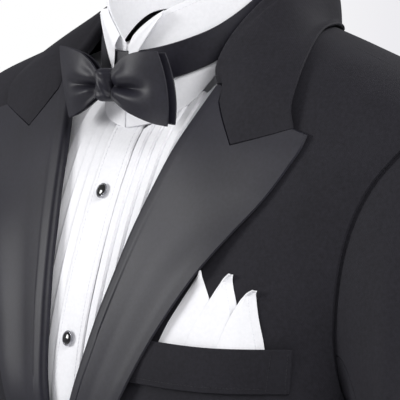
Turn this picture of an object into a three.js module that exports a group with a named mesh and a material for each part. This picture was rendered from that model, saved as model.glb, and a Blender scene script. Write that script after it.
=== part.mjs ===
// A one-button dinner suit as it is worn: jacket with peaked satin lapels, banded wing-collar shirt with a
// pleated bib, bow tie, folded pocket square and trousers with side braids. The wearer isn't there.
// Millimetres. +Z up, the front faces -Y, the wearer's left is +X.
// The origin is the middle of the neck's base, level with where the shoulder seams reach the collar.
import * as THREE from "three";

const DEG = Math.PI / 180;

// Driving sizes
const SEAM = 0.3;
const JACKET_WALL = 2.5;
const LAPEL_WALL = 2;
const SHIRT_WALL = 1.2;
const TROUSER_WALL = 2;
const HEM_Z = -745;
const BUTTON_Z = -405;
const TROUSER_HEM_Z = -1460;
const NECKLINE_X = 77;
const PLACKET_HALF = 13;
const PLEAT_PITCH = 9.5;
const PLEATS_A_SIDE = 7;
const PLEAT_DEPTH = 1;
const STUD_Z = -112;
const STUD_PITCH = 93.5;
const STUDS = 4;

// Colours and finishes
const WOOL = new THREE.MeshStandardMaterial({ color: 0x24232a, roughness: 0.85, metalness: 0 });
const SATIN = new THREE.MeshStandardMaterial({ color: 0x3a3944, roughness: 0.4, metalness: 0 });
const COTTON = new THREE.MeshStandardMaterial({ color: 0xf4f4f7, roughness: 0.8, metalness: 0 });
const BLACK_STUD = new THREE.MeshStandardMaterial({ color: 0x101012, roughness: 0.15, metalness: 0.2 });

const suit = new THREE.Group();

function addPiece(name, geometry, material) {
  const mesh = new THREE.Mesh(geometry, material);
  mesh.name = name;
  suit.add(mesh);
}

// Tables and curves
function table(columns, rows) {
  return Object.fromEntries(columns.map((name, i) => [name, rows.map((row) => row[i])]));
}

// Smooth curve through a table's points, with xs ascending and held at the ends
function curve(x, xs, ys) {
  const last = xs.length - 1;
  const step = (i) => xs[i + 1] - xs[i];
  const rate = (i) => (ys[i + 1] - ys[i]) / step(i);
  const slope = (i) => {
    if (i === 0) return rate(0);
    if (i === last) return rate(last - 1);
    return (rate(i - 1) * step(i) + rate(i) * step(i - 1)) / (step(i - 1) + step(i));
  };
  const at = Math.min(Math.max(x, xs[0]), xs[last]);
  let i = 0;
  while (i < last - 1 && at >= xs[i + 1]) i += 1;
  const h = step(i);
  const t = (at - xs[i]) / h;
  const ends = ys[i] * (1 + 2 * t) * (1 - t) ** 2 + ys[i + 1] * t * t * (3 - 2 * t);
  return ends + h * (slope(i) * t * (1 - t) ** 2 - slope(i + 1) * t * t * (1 - t));
}

// Straight lines through a table's points, with xs ascending
function polyline(x, xs, ys) {
  const last = xs.length - 1;
  const at = Math.min(Math.max(x, xs[0]), xs[last]);
  let i = 0;
  while (i < last - 1 && at >= xs[i + 1]) i += 1;
  return mix(ys[i], ys[i + 1], (at - xs[i]) / (xs[i + 1] - xs[i]));
}

function mix(a, b, t) {
  return a + (b - a) * t;
}

function ease(x, from, to) {
  const t = Math.min(Math.max((x - from) / (to - from), 0), 1);
  return t * t * (3 - 2 * t);
}

// Equal steps from one value to another, both ends included
function steps(from, to, count) {
  return Array.from({ length: count + 1 }, (_, i) => mix(from, to, i / count));
}

// The figure's rings: the outer face of the jacket's cloth, or of what it would be at the neck
const BODY = table(["z", "half", "front", "back", "power"], [
  [-745, 200, 128, 126, 2.4],
  [-660, 197, 125, 122, 2.4],
  [-580, 190, 121, 112, 2.4],
  [-500, 180, 117, 99, 2.4],
  [-425, 172, 114, 93, 2.4],
  [-360, 176, 119, 100, 2.45],
  [-300, 183, 125, 110, 2.5],
  [-240, 191, 126, 117, 2.5],
  [-200, 203, 121, 119, 2.5],
  [-160, 219, 112, 117, 2.5],
  [-130, 228, 103, 113, 2.5],
  [-100, 234, 92, 106, 2.5],
  [-75, 235, 81, 97, 2.5],
  [-50, 225, 68, 86, 2.4],
  [-30, 172, 56, 74, 2.3],
  [-15, 124, 45, 64, 2.2],
  [0, 76, 31, 52, 2.1],
  [20, 60, 26, 48, 2.0],
  [60, 56, 24, 46, 2.0],
]);

function ringAt(z) {
  return {
    half: curve(z, BODY.z, BODY.half),
    front: curve(z, BODY.z, BODY.front),
    back: curve(z, BODY.z, BODY.back),
    power: curve(z, BODY.z, BODY.power),
  };
}

// How far outside the rings a point is, as the rings' own measure
function ringMeasure(p) {
  const { half, front, back, power } = ringAt(p.z);
  const depth = p.y < 0 ? front : back;
  return Math.abs(p.x / half) ** power + Math.abs(p.y / depth) ** power - 1;
}

function bodyNormal(p) {
  const e = 0.4;
  const measure = (dx, dy, dz) => ringMeasure(new THREE.Vector3(p.x + dx, p.y + dy, p.z + dz));
  return new THREE.Vector3(
    measure(e, 0, 0) - measure(-e, 0, 0),
    measure(0, e, 0) - measure(0, -e, 0),
    measure(0, 0, e) - measure(0, 0, -e),
  ).normalize();
}

function movedOut(p, out) {
  return out === 0 ? p : p.clone().addScaledVector(bodyNormal(p), out);
}

// Angle 0 is the middle of the front, 90 degrees the wearer's left side, 180 the middle of the back
function onBody(angle, z, out = 0) {
  const { half, front, back, power } = ringAt(z);
  const s = Math.sin(angle);
  const c = Math.cos(angle);
  const depth = c > 0 ? front : back;
  const x = half * Math.sign(s) * Math.abs(s) ** (2 / power);
  const y = -depth * Math.sign(c) * Math.abs(c) ** (2 / power);
  return movedOut(new THREE.Vector3(x, y, z), out);
}

function onFront(x, z, out = 0) {
  const { half, front, power } = ringAt(z);
  const y = -front * Math.max(1 - Math.abs(x / half) ** power, 0) ** (1 / power);
  return movedOut(new THREE.Vector3(x, y, z), out);
}

function onSide(y, z, out = 0) {
  const { half, front, back, power } = ringAt(z);
  const x = half * Math.max(1 - Math.abs(y / (y < 0 ? front : back)) ** power, 0) ** (1 / power);
  return movedOut(new THREE.Vector3(x, y, z), out);
}

function angleAtX(x, z) {
  const { half, power } = ringAt(z);
  return Math.sign(x) * Math.asin(Math.min(Math.abs(x / half), 1) ** (power / 2));
}

function angleAtY(y, z) {
  const { front, back, power } = ringAt(z);
  const angle = Math.acos(Math.min(Math.abs(y / (y < 0 ? front : back)), 1) ** (power / 2));
  return y < 0 ? angle : Math.PI - angle;
}

// An angle moved along its ring by a length
function angleMoved(angle, z, length) {
  const e = 0.01;
  return angle + (length * e) / onBody(angle + e, z).distanceTo(onBody(angle, z));
}

// A point pushed out of the rings until it clears them by a length
function cleared(p, out) {
  const q = p.clone();
  for (let turn = 0; turn < 4; turn += 1) {
    const e = 0.4;
    const normal = bodyNormal(q);
    const ahead = q.clone().addScaledVector(normal, e);
    const distance = (ringMeasure(q) * e) / (ringMeasure(ahead) - ringMeasure(q));
    if (distance < out) q.addScaledVector(normal, out - distance);
  }
  return q;
}

function sided(p, side) {
  return new THREE.Vector3(p.x * side, p.y, p.z);
}

// Walls between two grids of points
function pointGrid(rows, columns, point) {
  return rows.map((row) => columns.map((column) => point(row, column)));
}

function wallBetween(outer, inner, closed = false) {
  const rows = outer.length;
  const columns = outer[0].length;
  const positions = [...outer.flat(), ...inner.flat()].flatMap((p) => [p.x, p.y, p.z]);
  const index = [];
  const at = (face, r, c) => face * rows * columns + r * columns + (c % columns);
  const quad = (a, b, c, d) => index.push(a, b, c, a, c, d);
  const spans = closed ? columns : columns - 1;
  for (let r = 0; r < rows - 1; r += 1) {
    for (let c = 0; c < spans; c += 1) {
      quad(at(0, r, c), at(0, r, c + 1), at(0, r + 1, c + 1), at(0, r + 1, c));
      quad(at(1, r, c), at(1, r + 1, c), at(1, r + 1, c + 1), at(1, r, c + 1));
    }
  }
  for (let c = 0; c < spans; c += 1) {
    quad(at(0, 0, c), at(1, 0, c), at(1, 0, c + 1), at(0, 0, c + 1));
    quad(at(0, rows - 1, c), at(0, rows - 1, c + 1), at(1, rows - 1, c + 1), at(1, rows - 1, c));
  }
  if (!closed) {
    for (let r = 0; r < rows - 1; r += 1) {
      quad(at(0, r, 0), at(0, r + 1, 0), at(1, r + 1, 0), at(1, r, 0));
      const end = columns - 1;
      quad(at(0, r, end), at(1, r, end), at(1, r + 1, end), at(0, r + 1, end));
    }
  }
  return facingOut(positions, index);
}

// Turns every face round where the volume comes out negative
function facingOut(positions, index) {
  let volume = 0;
  const corner = (i) => new THREE.Vector3().fromArray(positions, index[i] * 3);
  for (let i = 0; i < index.length; i += 3) volume += corner(i).dot(corner(i + 1).cross(corner(i + 2)));
  if (volume < 0) {
    for (let i = 0; i < index.length; i += 3) [index[i], index[i + 1]] = [index[i + 1], index[i]];
  }
  const geometry = new THREE.BufferGeometry();
  geometry.setAttribute("position", new THREE.Float32BufferAttribute(positions, 3));
  geometry.setIndex(index);
  return geometry;
}

// Mean normals of a grid's quads at each of its points
function gridNormals(grid, closed) {
  const rows = grid.length;
  const columns = grid[0].length;
  const clampRow = (r) => Math.min(Math.max(r, 0), rows - 1);
  const clampColumn = (c) => (closed ? (c + columns) % columns : Math.min(Math.max(c, 0), columns - 1));
  return grid.map((line, r) => line.map((p, c) => {
    const along = grid[r][clampColumn(c + 1)].clone().sub(grid[r][clampColumn(c - 1)]);
    const down = grid[clampRow(r + 1)][c].clone().sub(grid[clampRow(r - 1)][c]);
    return along.cross(down).normalize();
  }));
}

// A wall of one thickness round a middle face
function thickened(grid, wall, closed = false) {
  const normals = gridNormals(grid, closed);
  const face = (sign) => grid.map((line, r) => line.map((p, c) => (
    p.clone().addScaledVector(normals[r][c], (sign * wall) / 2)
  )));
  return wallBetween(face(1), face(-1), closed);
}

// A turned piece set on a point, with its axis along a direction
function turned(profile, segments, seat, direction) {
  const geometry = new THREE.LatheGeometry(profile.map(([r, h]) => new THREE.Vector2(r, h)), segments);
  const turn = new THREE.Quaternion().setFromUnitVectors(new THREE.Vector3(0, 1, 0), direction);
  geometry.applyQuaternion(turn);
  geometry.translate(seat.x, seat.y, seat.z);
  return geometry;
}

// Armhole: an ellipse seen from the side, on the rings' face. Angle 0 is its top, 90 degrees its front.
const ARMHOLE = { y: 3, z: -158, rise: 108, front: 72, back: 78 };
const SEAM_ARM_ANGLE = 125 * DEG;
const SIDE_TOP_Z = ARMHOLE.z + ARMHOLE.rise * Math.cos(SEAM_ARM_ANGLE);

function armhole(angle, grow = 0, out = 0) {
  const reach = (Math.sin(angle) > 0 ? ARMHOLE.front : ARMHOLE.back) + grow;
  const y = ARMHOLE.y - reach * Math.sin(angle);
  return onSide(y, ARMHOLE.z + (ARMHOLE.rise + grow) * Math.cos(angle), out);
}

function armholeY(z, facing, grow = 0) {
  const across = Math.sqrt(Math.max(1 - ((z - ARMHOLE.z) / (ARMHOLE.rise + grow)) ** 2, 0));
  return ARMHOLE.y - (facing > 0 ? ARMHOLE.front + grow : -ARMHOLE.back - grow) * across;
}

const FRONT_SEAM = angleAtY(armholeY(SIDE_TOP_Z, 1), SIDE_TOP_Z);
const BACK_SEAM = angleAtY(armholeY(SIDE_TOP_Z, -1), SIDE_TOP_Z);
const ARMHOLE_TOP_Z = ARMHOLE.z + ARMHOLE.rise;

// Outer limit of a front or back row: shoulder seam, armhole, then the seam below it
const JACKET_CUT = { front: FRONT_SEAM, back: BACK_SEAM, shoulder: 90 * DEG, topZ: SIDE_TOP_Z, grow: 0 };

function frontLimit(z, cut = JACKET_CUT) {
  const shoulder = angleMoved(cut.shoulder, z, -SEAM / 2);
  if (z > ARMHOLE_TOP_Z) return shoulder;
  if (z > cut.topZ) return Math.min(angleAtY(armholeY(z, 1, cut.grow), z), shoulder);
  return angleMoved(cut.front, z, -SEAM / 2);
}

function backLimit(z, cut = JACKET_CUT) {
  if (z > ARMHOLE_TOP_Z) return angleMoved(90 * DEG, z, SEAM / 2);
  if (z > cut.topZ) return angleAtY(Math.max(armholeY(z, -1, cut.grow), SEAM), z);
  return angleMoved(cut.back, z, SEAM / 2);
}

// Roll line and lapel edge of the wearer's left front, and how far the right one sits nearer the middle
const ROLL = table(["z", "x"], [
  [-405, -20], [-360, -12], [-300, 3], [-241, 18.5], [-214, 26.5],
  [-166, 40], [-114, 54], [-79, 65.2], [-44.8, NECKLINE_X],
]);
const LAPEL_EDGE = table(["z", "x"], [
  [-398, -14], [-300, 31], [-235, 63], [-193, 85.5], [-160, 106],
  [-130, 126.5], [-106, 144], [-88, 153.5], [-78, 158], [-69.4, 159.5],
]);
const RIGHT_SHIFT = table(["z", "x"], [
  [-300, 0], [-240, 4], [-200, 9], [-115, 12], [-75, 11], [-44.8, 6], [0, 0],
]);
const ROLL_TOP_Z = -44.8;
const LAPEL_FOOT_Z = -398;

function shiftFor(side, z) {
  return side > 0 ? 0 : curve(z, RIGHT_SHIFT.z, RIGHT_SHIFT.x);
}

function rollX(side, z) {
  return curve(z, ROLL.z, ROLL.x) - shiftFor(side, z);
}

function lapelEdgeX(side, z) {
  return curve(z, LAPEL_EDGE.z, LAPEL_EDGE.x) - shiftFor(side, z);
}

// The fronts lap at the button: the left one lies over the right one
const LAP = { left: 2.2, right: -3.9, closedZ: -290, openZ: -235, near: 30, far: 66 };

function lapOut(side, x, z) {
  const amount = side > 0 ? LAP.left : LAP.right;
  return amount * (1 - ease(x, LAP.near, LAP.far)) * (1 - ease(z, LAP.closedZ, LAP.openZ));
}

// Front edge below the button, cut away in a quarter round
const FRONT_EDGE = table(["z", "x"], [
  [-745, 118], [-741, 96], [-730, 74], [-708, 52], [-670, 28],
  [-620, 8], [-560, -8], [-480, -18], [-405, -20],
]);

function frontEdgeX(side, z) {
  if (z < BUTTON_Z) return curve(z, FRONT_EDGE.z, FRONT_EDGE.x);
  if (z > ROLL_TOP_Z) return NECKLINE_X;
  return rollX(side, z);
}

// Jacket body
const PANEL_START = 1.7;
const JACKET_ROWS = [
  -0.6, -12, -26, ROLL_TOP_Z, -50.5, -54, -62, -75, -92, -112, -135, -160, -190, SIDE_TOP_Z, -255, -292, -335,
  -380, -425, -480, -540, -600, -655, -700, -728, HEM_Z,
];
const FRONT_SHARES = [0, 0.11, 0.23, 0.36, 0.5, 0.65, 0.82, 1];
const BACK_SHARES = [0, 0.2, 0.4, 0.6, 0.8, 1];
const SIDE_SHARES = [0, 0.125, 0.25, 0.375, 0.5, 0.625, 0.75, 0.875, 1];
const CENTRE_BACK_SHAPE = table(["z", "in"], [[-745, 0], [-560, 1], [-425, 5], [-300, 3], [-150, 0]]);

function jacketFront(side) {
  const face = (out) => pointGrid(JACKET_ROWS, FRONT_SHARES, (z, share) => {
    const start = angleAtX(frontEdgeX(side, z) + PANEL_START, z);
    const angle = mix(start, frontLimit(z), share);
    const p = onBody(angle, z);
    return sided(movedOut(p, out + lapOut(side, p.x, z)), side);
  });
  return wallBetween(face(0), face(-JACKET_WALL));
}

function jacketBack(side) {
  const face = (out) => pointGrid(JACKET_ROWS, BACK_SHARES, (z, share) => {
    const angle = mix(angleMoved(Math.PI, z, -SEAM / 2), backLimit(z), share);
    const hollow = curve(z, CENTRE_BACK_SHAPE.z, CENTRE_BACK_SHAPE.in) * (1 - ease(share, 0, 0.5));
    return sided(onBody(angle, z, out - hollow), side);
  });
  return wallBetween(face(0), face(-JACKET_WALL));
}

// The side panel's top edge is the bottom of the armhole, and its rows sag with it
const SIDE_SAG = table(["z", "share"], [
  [-425, 0], [-380, 0.08], [-335, 0.25], [-292, 0.5], [-255, 0.75], [-219, 1],
]);

function jacketSide(side) {
  const rows = JACKET_ROWS.filter((z) => z <= SIDE_TOP_Z);
  const face = (out) => pointGrid(rows, SIDE_SHARES, (z, share) => {
    const arc = mix(SEAM_ARM_ANGLE, 2 * Math.PI - SEAM_ARM_ANGLE, share);
    const sag = ARMHOLE.z + ARMHOLE.rise * Math.cos(arc) - SIDE_TOP_Z;
    const low = z + sag * polyline(z, SIDE_SAG.z, SIDE_SAG.share);
    const from = angleMoved(FRONT_SEAM, low, SEAM / 2);
    const to = angleMoved(BACK_SEAM, low, -SEAM / 2);
    const even = mix(from, to, share);
    const underArm = angleAtY(armhole(arc).y, low);
    return sided(onBody(z === SIDE_TOP_Z ? mix(even, underArm, 0.5) : even, low, out), side);
  });
  return wallBetween(face(0), face(-JACKET_WALL));
}

// Sleeves: from the armhole to a bicep ring, then rings down the arm. Angle 0 is the top, then the outside.
const ARM = table(["z", "x", "y", "across", "deep", "tilt"], [
  [-690, 277, -44, 43, 48, 2],
  [-600, 273, -27, 46, 51, 2],
  [-520, 269, -14, 48, 54, 2],
  [-440, 264, -6, 51, 58, 4],
  [-360, 257, -3, 54, 63, 14],
  [-280, 249, -2, 56, 67, 30],
]);
const BICEP_Z = -280;
const CAP_SHARE = 0.42;
const SLEEVE_SET = { grow: -2.85, out: -0.6 };
// How the sleeve's head leaves the armhole and meets the bicep, under the arm and at its top
const HEAD = {
  under: { outward: 0.95, rise: -0.3, leave: 24, arrive: 34 },
  top: { outward: 1, rise: 0.16, leave: 105, arrive: 150 },
  turnIn: 0.12,
};
const SLEEVE_HEM_Z = -690;

function armRing(angle, z, inset = 0) {
  const read = (name) => curve(z, ARM.z, ARM[name]);
  const x = read("x") + (read("across") - inset) * Math.cos(angle);
  const y = read("y") - (read("deep") - inset) * Math.sin(angle);
  return new THREE.Vector3(x, y, z + read("tilt") * Math.cos(angle));
}

// Share 0 is the armhole, CAP_SHARE the bicep and 1 the hem
function sleeveFace(angle, share) {
  if (share >= CAP_SHARE) {
    return armRing(angle, mix(BICEP_Z, SLEEVE_HEM_Z, (share - CAP_SHARE) / (1 - CAP_SHARE)));
  }
  const height = (1 + Math.cos(angle)) / 2;
  const t = share / CAP_SHARE;
  const from = armhole(angle, SLEEVE_SET.grow, SLEEVE_SET.out);
  const to = armRing(angle, BICEP_Z);
  const at = (name) => mix(HEAD.under[name], HEAD.top[name], height);
  const leave = new THREE.Vector3(at("outward"), -HEAD.turnIn * Math.sin(angle), at("rise"));
  leave.normalize().multiplyScalar(at("leave"));
  const arrive = new THREE.Vector3(0, 0, -at("arrive"));
  return hermite(from, leave, to, arrive, t);
}

function hermite(from, leave, to, arrive, t) {
  return from.clone().multiplyScalar((1 + 2 * t) * (1 - t) ** 2)
    .addScaledVector(leave, t * (1 - t) ** 2)
    .addScaledVector(to, t * t * (3 - 2 * t))
    .addScaledVector(arrive, -t * t * (1 - t));
}

function sleeveNormal(angle, share) {
  const e = 0.004;
  const low = Math.max(share - e, 0);
  const high = Math.min(share + e, 1);
  const around = sleeveFace(angle + e, share).sub(sleeveFace(angle - e, share));
  const along = sleeveFace(angle, high).sub(sleeveFace(angle, low));
  return around.cross(along).normalize();
}

const SLEEVE_SEAM = 112 * DEG;
const SLEEVE_SHARES = [0, 0.05, 0.11, 0.19, 0.28, CAP_SHARE, 0.52, 0.63, 0.75, 0.88, 1];

// The first row lies just inside the armhole's edge, the rest either side of the sleeve's own face
function sleevePiece(side, from, to, count) {
  const gap = 0.004;
  const angles = steps(from + gap, to - gap, count);
  const face = (sign) => pointGrid(SLEEVE_SHARES, angles, (share, angle) => {
    if (share === 0) {
      return sided(armhole(angle, SLEEVE_SET.grow + (sign * JACKET_WALL) / 2, SLEEVE_SET.out), side);
    }
    const p = sleeveFace(angle, share);
    return sided(p.addScaledVector(sleeveNormal(angle, share), (sign * JACKET_WALL) / 2), side);
  });
  return wallBetween(face(1), face(-1));
}

// Cross-section of the roll: how far in from the roll line, and how far out of the front
const ROLL_PATH = table(["across", "out"], [
  [0.9, -1.25], [-1, -0.8], [-1.9, 1.2], [-0.8, 3.3], [4, 4.2],
]);
const ROLL_FLAT = table(["across", "out"], [
  [0.9, -1.25], [-0.5, -0.8], [-0.9, 0.2], [-0.3, 1.3], [3, 2],
]);
const ROLL_CLOSING = { from: -230, to: -300 };
const LAPEL_OUT = 1.95;
const GORGE = table(["share", "z"], [[0, ROLL_TOP_Z], [0.454, -79], [0.874, -66.5], [1, -69.4]]);
const LEAF_SHARE = 0.874;
const LAPEL_SHARES = [0.13, 0.28, 0.454, 0.62, 0.76, LEAF_SHARE, 1];
const LAPEL_ROWS = [-92, -112, -135, -160, -190, SIDE_TOP_Z, -255, -292, -335, -372, LAPEL_FOOT_Z];

// The lapel lies proud at its roll, and is raised over the pocket's edge and the folded square
const ROLL_PROUD = { open: 4.2, closed: 2 };
const POCKET_ROOM = {
  out: 3.7,
  start: { from: -128, to: -148 },
  end: { from: -228, to: -262 },
  share: { from: 0.45, to: 0.85 },
};

// The lapel's middle face at a share of its width
function lapelOut(z, share) {
  const closing = ease(z, ROLL_CLOSING.from, ROLL_CLOSING.to);
  const proud = mix(mix(ROLL_PROUD.open, ROLL_PROUD.closed, closing), LAPEL_OUT, ease(share, 0, 0.75));
  const { out, start, end } = POCKET_ROOM;
  const raised = ease(z, start.from, start.to) * (1 - ease(z, end.from, end.to));
  return proud + out * raised * ease(share, POCKET_ROOM.share.from, POCKET_ROOM.share.to);
}

function lapelPoint(side, z, share) {
  const from = rollX(side, z);
  const x = mix(from, lapelEdgeX(side, z), share);
  return onFront(x, z, lapelOut(z, share) + lapOut(side, x, z));
}

function lapelRollPoint(side, z, i) {
  const closing = ease(z, ROLL_CLOSING.from, ROLL_CLOSING.to);
  const across = mix(ROLL_PATH.across[i], ROLL_FLAT.across[i], closing);
  const x = rollX(side, z) + across;
  return onFront(x, z, mix(ROLL_PATH.out[i], ROLL_FLAT.out[i], closing) + lapOut(side, x, z));
}

function lapel(side) {
  const shareRow = (topZ, row) => {
    if (row === 0) return topZ;
    if (row === 1) return mix(topZ, LAPEL_ROWS[0], 0.5);
    return LAPEL_ROWS[row - 2];
  };
  const rows = steps(0, LAPEL_ROWS.length + 1, LAPEL_ROWS.length + 1);
  const grid = rows.map((row) => [
    ...ROLL_PATH.across.map((_, i) => sided(lapelRollPoint(side, shareRow(ROLL_TOP_Z, row), i), side)),
    ...LAPEL_SHARES.map((share) => {
      const top = polyline(share, GORGE.share, GORGE.z);
      return sided(lapelPoint(side, shareRow(top, row), share), side);
    }),
  ]);
  return thickened(grid, LAPEL_WALL);
}

// Collar: its fold and its outer edge, from the gorge (0) to the middle of the back (1)
const FOLD = table(["along", "x", "y", "z"], [
  [0, 77, -67.6, -44.8],
  [0.22, 69, -47, -17],
  [0.46, 71, -11, 16],
  [0.66, 64, 28, 33],
  [0.83, 40, 51, 41],
  [1, 0, 60, 43],
]);
const LEAF_EDGE = table(["along", "x", "y", "z"], [
  [0, 148, -70, -66],
  [0.1, 141, -61, -50],
  [0.22, 130, -43, -29],
  [0.34, 114, -18, -13],
  [0.5, 90, 15, -10],
  [0.68, 68, 45, -11],
  [0.84, 39, 64, -13],
  [1, 0, 70, -14],
]);
const NECK_SEAM = table(["along", "angle", "z"], [
  [0.28, 42, -12], [0.4, 60, -4], [0.54, 92, 0], [0.75, 135, 0], [1, 180, 0],
]);
const GORGE_GAP = { roll: 1.7, edge: 0.5 };
const LEAF_SHARES = [0.16, 0.36, GORGE.share[1] / LEAF_SHARE, 0.75, 1];
const COLLAR_STEPS = [0.08, 0.17, 0.28, 0.4, 0.54, 0.7, 0.85, 1];
const STAND_WALL = 2;
const STAND_TOP = { under: 1.25, below: 2.45 };
const LEAF_BOW = { fold: 4.2, edge: 1, middle: 3, clear: 0.4 };

function along(data, t) {
  return new THREE.Vector3(...["x", "y", "z"].map((name) => curve(t, data.along, data[name])));
}

// Directions at the fold: across the leaf, and out of it
function foldFrame(t) {
  const fold = along(FOLD, t);
  const across = along(LEAF_EDGE, t).sub(fold).normalize();
  const tangent = along(FOLD, Math.min(t + 0.02, 1)).sub(along(FOLD, Math.max(t - 0.02, 0)));
  if (t > 0.98) tangent.set(-1, 0, 0);
  const out = tangent.cross(across).normalize().negate();
  return { fold, across, out };
}

function leafRow(side, t) {
  if (t === 0) {
    return [
      ...ROLL_PATH.across.map((_, i) => lapelRollPoint(side, ROLL_TOP_Z + GORGE_GAP.roll, i)),
      ...LEAF_SHARES.map((share) => {
        const gap = mix(GORGE_GAP.roll, GORGE_GAP.edge, share);
        const z = polyline(share * LEAF_SHARE, GORGE.share, GORGE.z) + gap;
        return lapelPoint(side, z, share * LEAF_SHARE);
      }),
    ].map((p) => sided(p, side));
  }
  const { fold, across, out } = foldFrame(t);
  const edge = along(LEAF_EDGE, t);
  fold.x -= (shiftFor(side, fold.z) * (1 - t)) / 2;
  const roll = ROLL_PATH.across.map((a, i) => (
    fold.clone().addScaledVector(across, a).addScaledVector(out, ROLL_PATH.out[i])
  ));
  const leaf = LEAF_SHARES.map((share) => {
    const bow = mix(LEAF_BOW.fold, LEAF_BOW.edge, share) + LEAF_BOW.middle * Math.sin(Math.PI * share);
    const p = fold.clone().lerp(edge, share).addScaledVector(out, bow);
    return cleared(p, LAPEL_OUT + LEAF_BOW.clear);
  });
  return [...roll, ...leaf].map((p) => sided(p, side));
}

function collarLeaf() {
  const left = [0, ...COLLAR_STEPS].map((t) => leafRow(1, t));
  const right = [0, ...COLLAR_STEPS.slice(0, -1)].map((t) => leafRow(-1, t));
  return thickened([...left, ...right.reverse()], LAPEL_WALL);
}

function collarStand() {
  const halfSteps = COLLAR_STEPS.filter((t) => t >= NECK_SEAM.along[0]);
  const row = (side, t) => {
    const { fold, out } = foldFrame(t);
    const angle = curve(t, NECK_SEAM.along, NECK_SEAM.angle) * DEG;
    const seam = onBody(angle, curve(t, NECK_SEAM.along, NECK_SEAM.z) + 0.6);
    seam.addScaledVector(new THREE.Vector3(Math.sin(angle), -Math.cos(angle), 0), -STAND_WALL);
    const top = fold.clone().addScaledVector(out, -STAND_TOP.under);
    top.addScaledVector(seam.clone().sub(top).normalize(), STAND_TOP.below);
    return [0, 0.5, 1].map((share) => sided(top.clone().lerp(seam, share), side));
  };
  const left = halfSteps.map((t) => row(1, t));
  const right = halfSteps.slice(0, -1).map((t) => row(-1, t));
  return thickened([...left, ...right.reverse()], STAND_WALL);
}

// Chest pocket's welt and the folded square that stands in it
const WELT = { outerX: 169.5, wall: 1.6, tuck: 7 };
const WELT_TOP = table(["x", "z"], [[60, -198], [126, -197.8], [169.5, -194.3]]);
const WELT_LEVELS = table(["down", "out"], [[0, 3.3], [13, 3.3], [26, 1.8]]);

function chestWelt() {
  const grid = pointGrid([0, 1, 2], steps(0, 1, 7), (row, share) => {
    const down = WELT_LEVELS.down[row];
    const start = lapelEdgeX(1, -198 - down) - WELT.tuck;
    const x = mix(start, WELT.outerX - 0.12 * down, share);
    return onFront(x, curve(x, WELT_TOP.x, WELT_TOP.z) - down, WELT_LEVELS.out[row]);
  });
  return thickened(grid, WELT.wall);
}

const SQUARE_TOP = table(["x", "z", "out"], [
  [80, -196, 0], [90, -187, 0.6], [98.6, -171, 1.2], [108.8, -152.6, 1.6], [114, -161, 1.2],
  [119.2, -169.5, 0.4], [125, -161, 1.6], [130.8, -153, 2.6], [134.4, -162, 1.6], [138, -172, 0.4],
  [142.7, -166, 1.6], [147.4, -161, 2.4], [151.6, -178, 1.4], [155, -194, 0],
]);
const SQUARE_FOOT_Z = -208;
const SQUARE_WALL = 1.2;
const SQUARE_OUT = 1.3;

function pocketSquare() {
  const columns = SQUARE_TOP.x.map((_, i) => i);
  const grid = pointGrid([0, 0.22, 0.5, 0.78, 1], columns, (share, i) => {
    const foot = mix(SQUARE_TOP.x[i], 118, 0.08);
    const x = mix(foot, SQUARE_TOP.x[i], share);
    const z = mix(SQUARE_FOOT_Z, SQUARE_TOP.z[i], share);
    return onFront(x, z, SQUARE_OUT + SQUARE_TOP.out[i] * share * share);
  });
  return thickened(grid, SQUARE_WALL);
}

// Hip pockets: one narrow satin-bound jet on each side
const JET = { z: -520, from: 24 * DEG, to: 60 * DEG, tall: 6, slope: 4, wall: 1.4, out: 1.3 };

function hipJet(side) {
  const grid = pointGrid([0, 1], steps(0, 1, 8), (row, share) => {
    const z = JET.z - row * JET.tall - JET.slope * share;
    return sided(onBody(mix(JET.from, JET.to, share), z, JET.out), side);
  });
  return thickened(grid, JET.wall);
}

const FRONT_BUTTON = [[0, 0], [8, 0], [10, 1.2], [9.4, 2.8], [6, 4], [0, 4.4]];
const CUFF_BUTTON = [[0, 0], [6, 0], [7.4, 1.2], [6.6, 2.6], [0, 3]];
const CUFF_BUTTONS = { count: 3, first: 0.9, pitch: 0.034, angle: -104 * DEG };

function frontButton() {
  const seat = onFront(0, BUTTON_Z, LAP.left + SEAM);
  return turned(FRONT_BUTTON, 16, seat, bodyNormal(seat));
}

function cuffButton(side, i) {
  const share = CUFF_BUTTONS.first + i * CUFF_BUTTONS.pitch;
  const normal = sleeveNormal(CUFF_BUTTONS.angle, share);
  const seat = sleeveFace(CUFF_BUTTONS.angle, share).addScaledVector(normal, JACKET_WALL / 2 + 0.4);
  return turned(CUFF_BUTTON, 10, sided(seat, side), sided(normal, side));
}

for (const [word, side] of [["left", 1], ["right", -1]]) {
  addPiece(`jacket_front_${word}`, jacketFront(side), WOOL);
  addPiece(`jacket_side_${word}`, jacketSide(side), WOOL);
  addPiece(`jacket_back_${word}`, jacketBack(side), WOOL);
  addPiece(`sleeve_upper_${word}`, sleevePiece(side, -SLEEVE_SEAM, SLEEVE_SEAM, 11), WOOL);
  addPiece(`sleeve_under_${word}`, sleevePiece(side, SLEEVE_SEAM, 2 * Math.PI - SLEEVE_SEAM, 6), WOOL);
  addPiece(`lapel_${word}`, lapel(side), SATIN);
  addPiece(`hip_jet_${word}`, hipJet(side), SATIN);
  for (let i = 0; i < CUFF_BUTTONS.count; i += 1) {
    addPiece(`cuff_button_${word}_${i + 1}`, cuffButton(side, i), SATIN);
  }
}
addPiece("jacket_collar", collarLeaf(), WOOL);
addPiece("collar_stand", collarStand(), WOOL);
addPiece("chest_welt", chestWelt(), WOOL);
addPiece("pocket_square", pocketSquare(), COTTON);
addPiece("front_button", frontButton(), SATIN);

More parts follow.
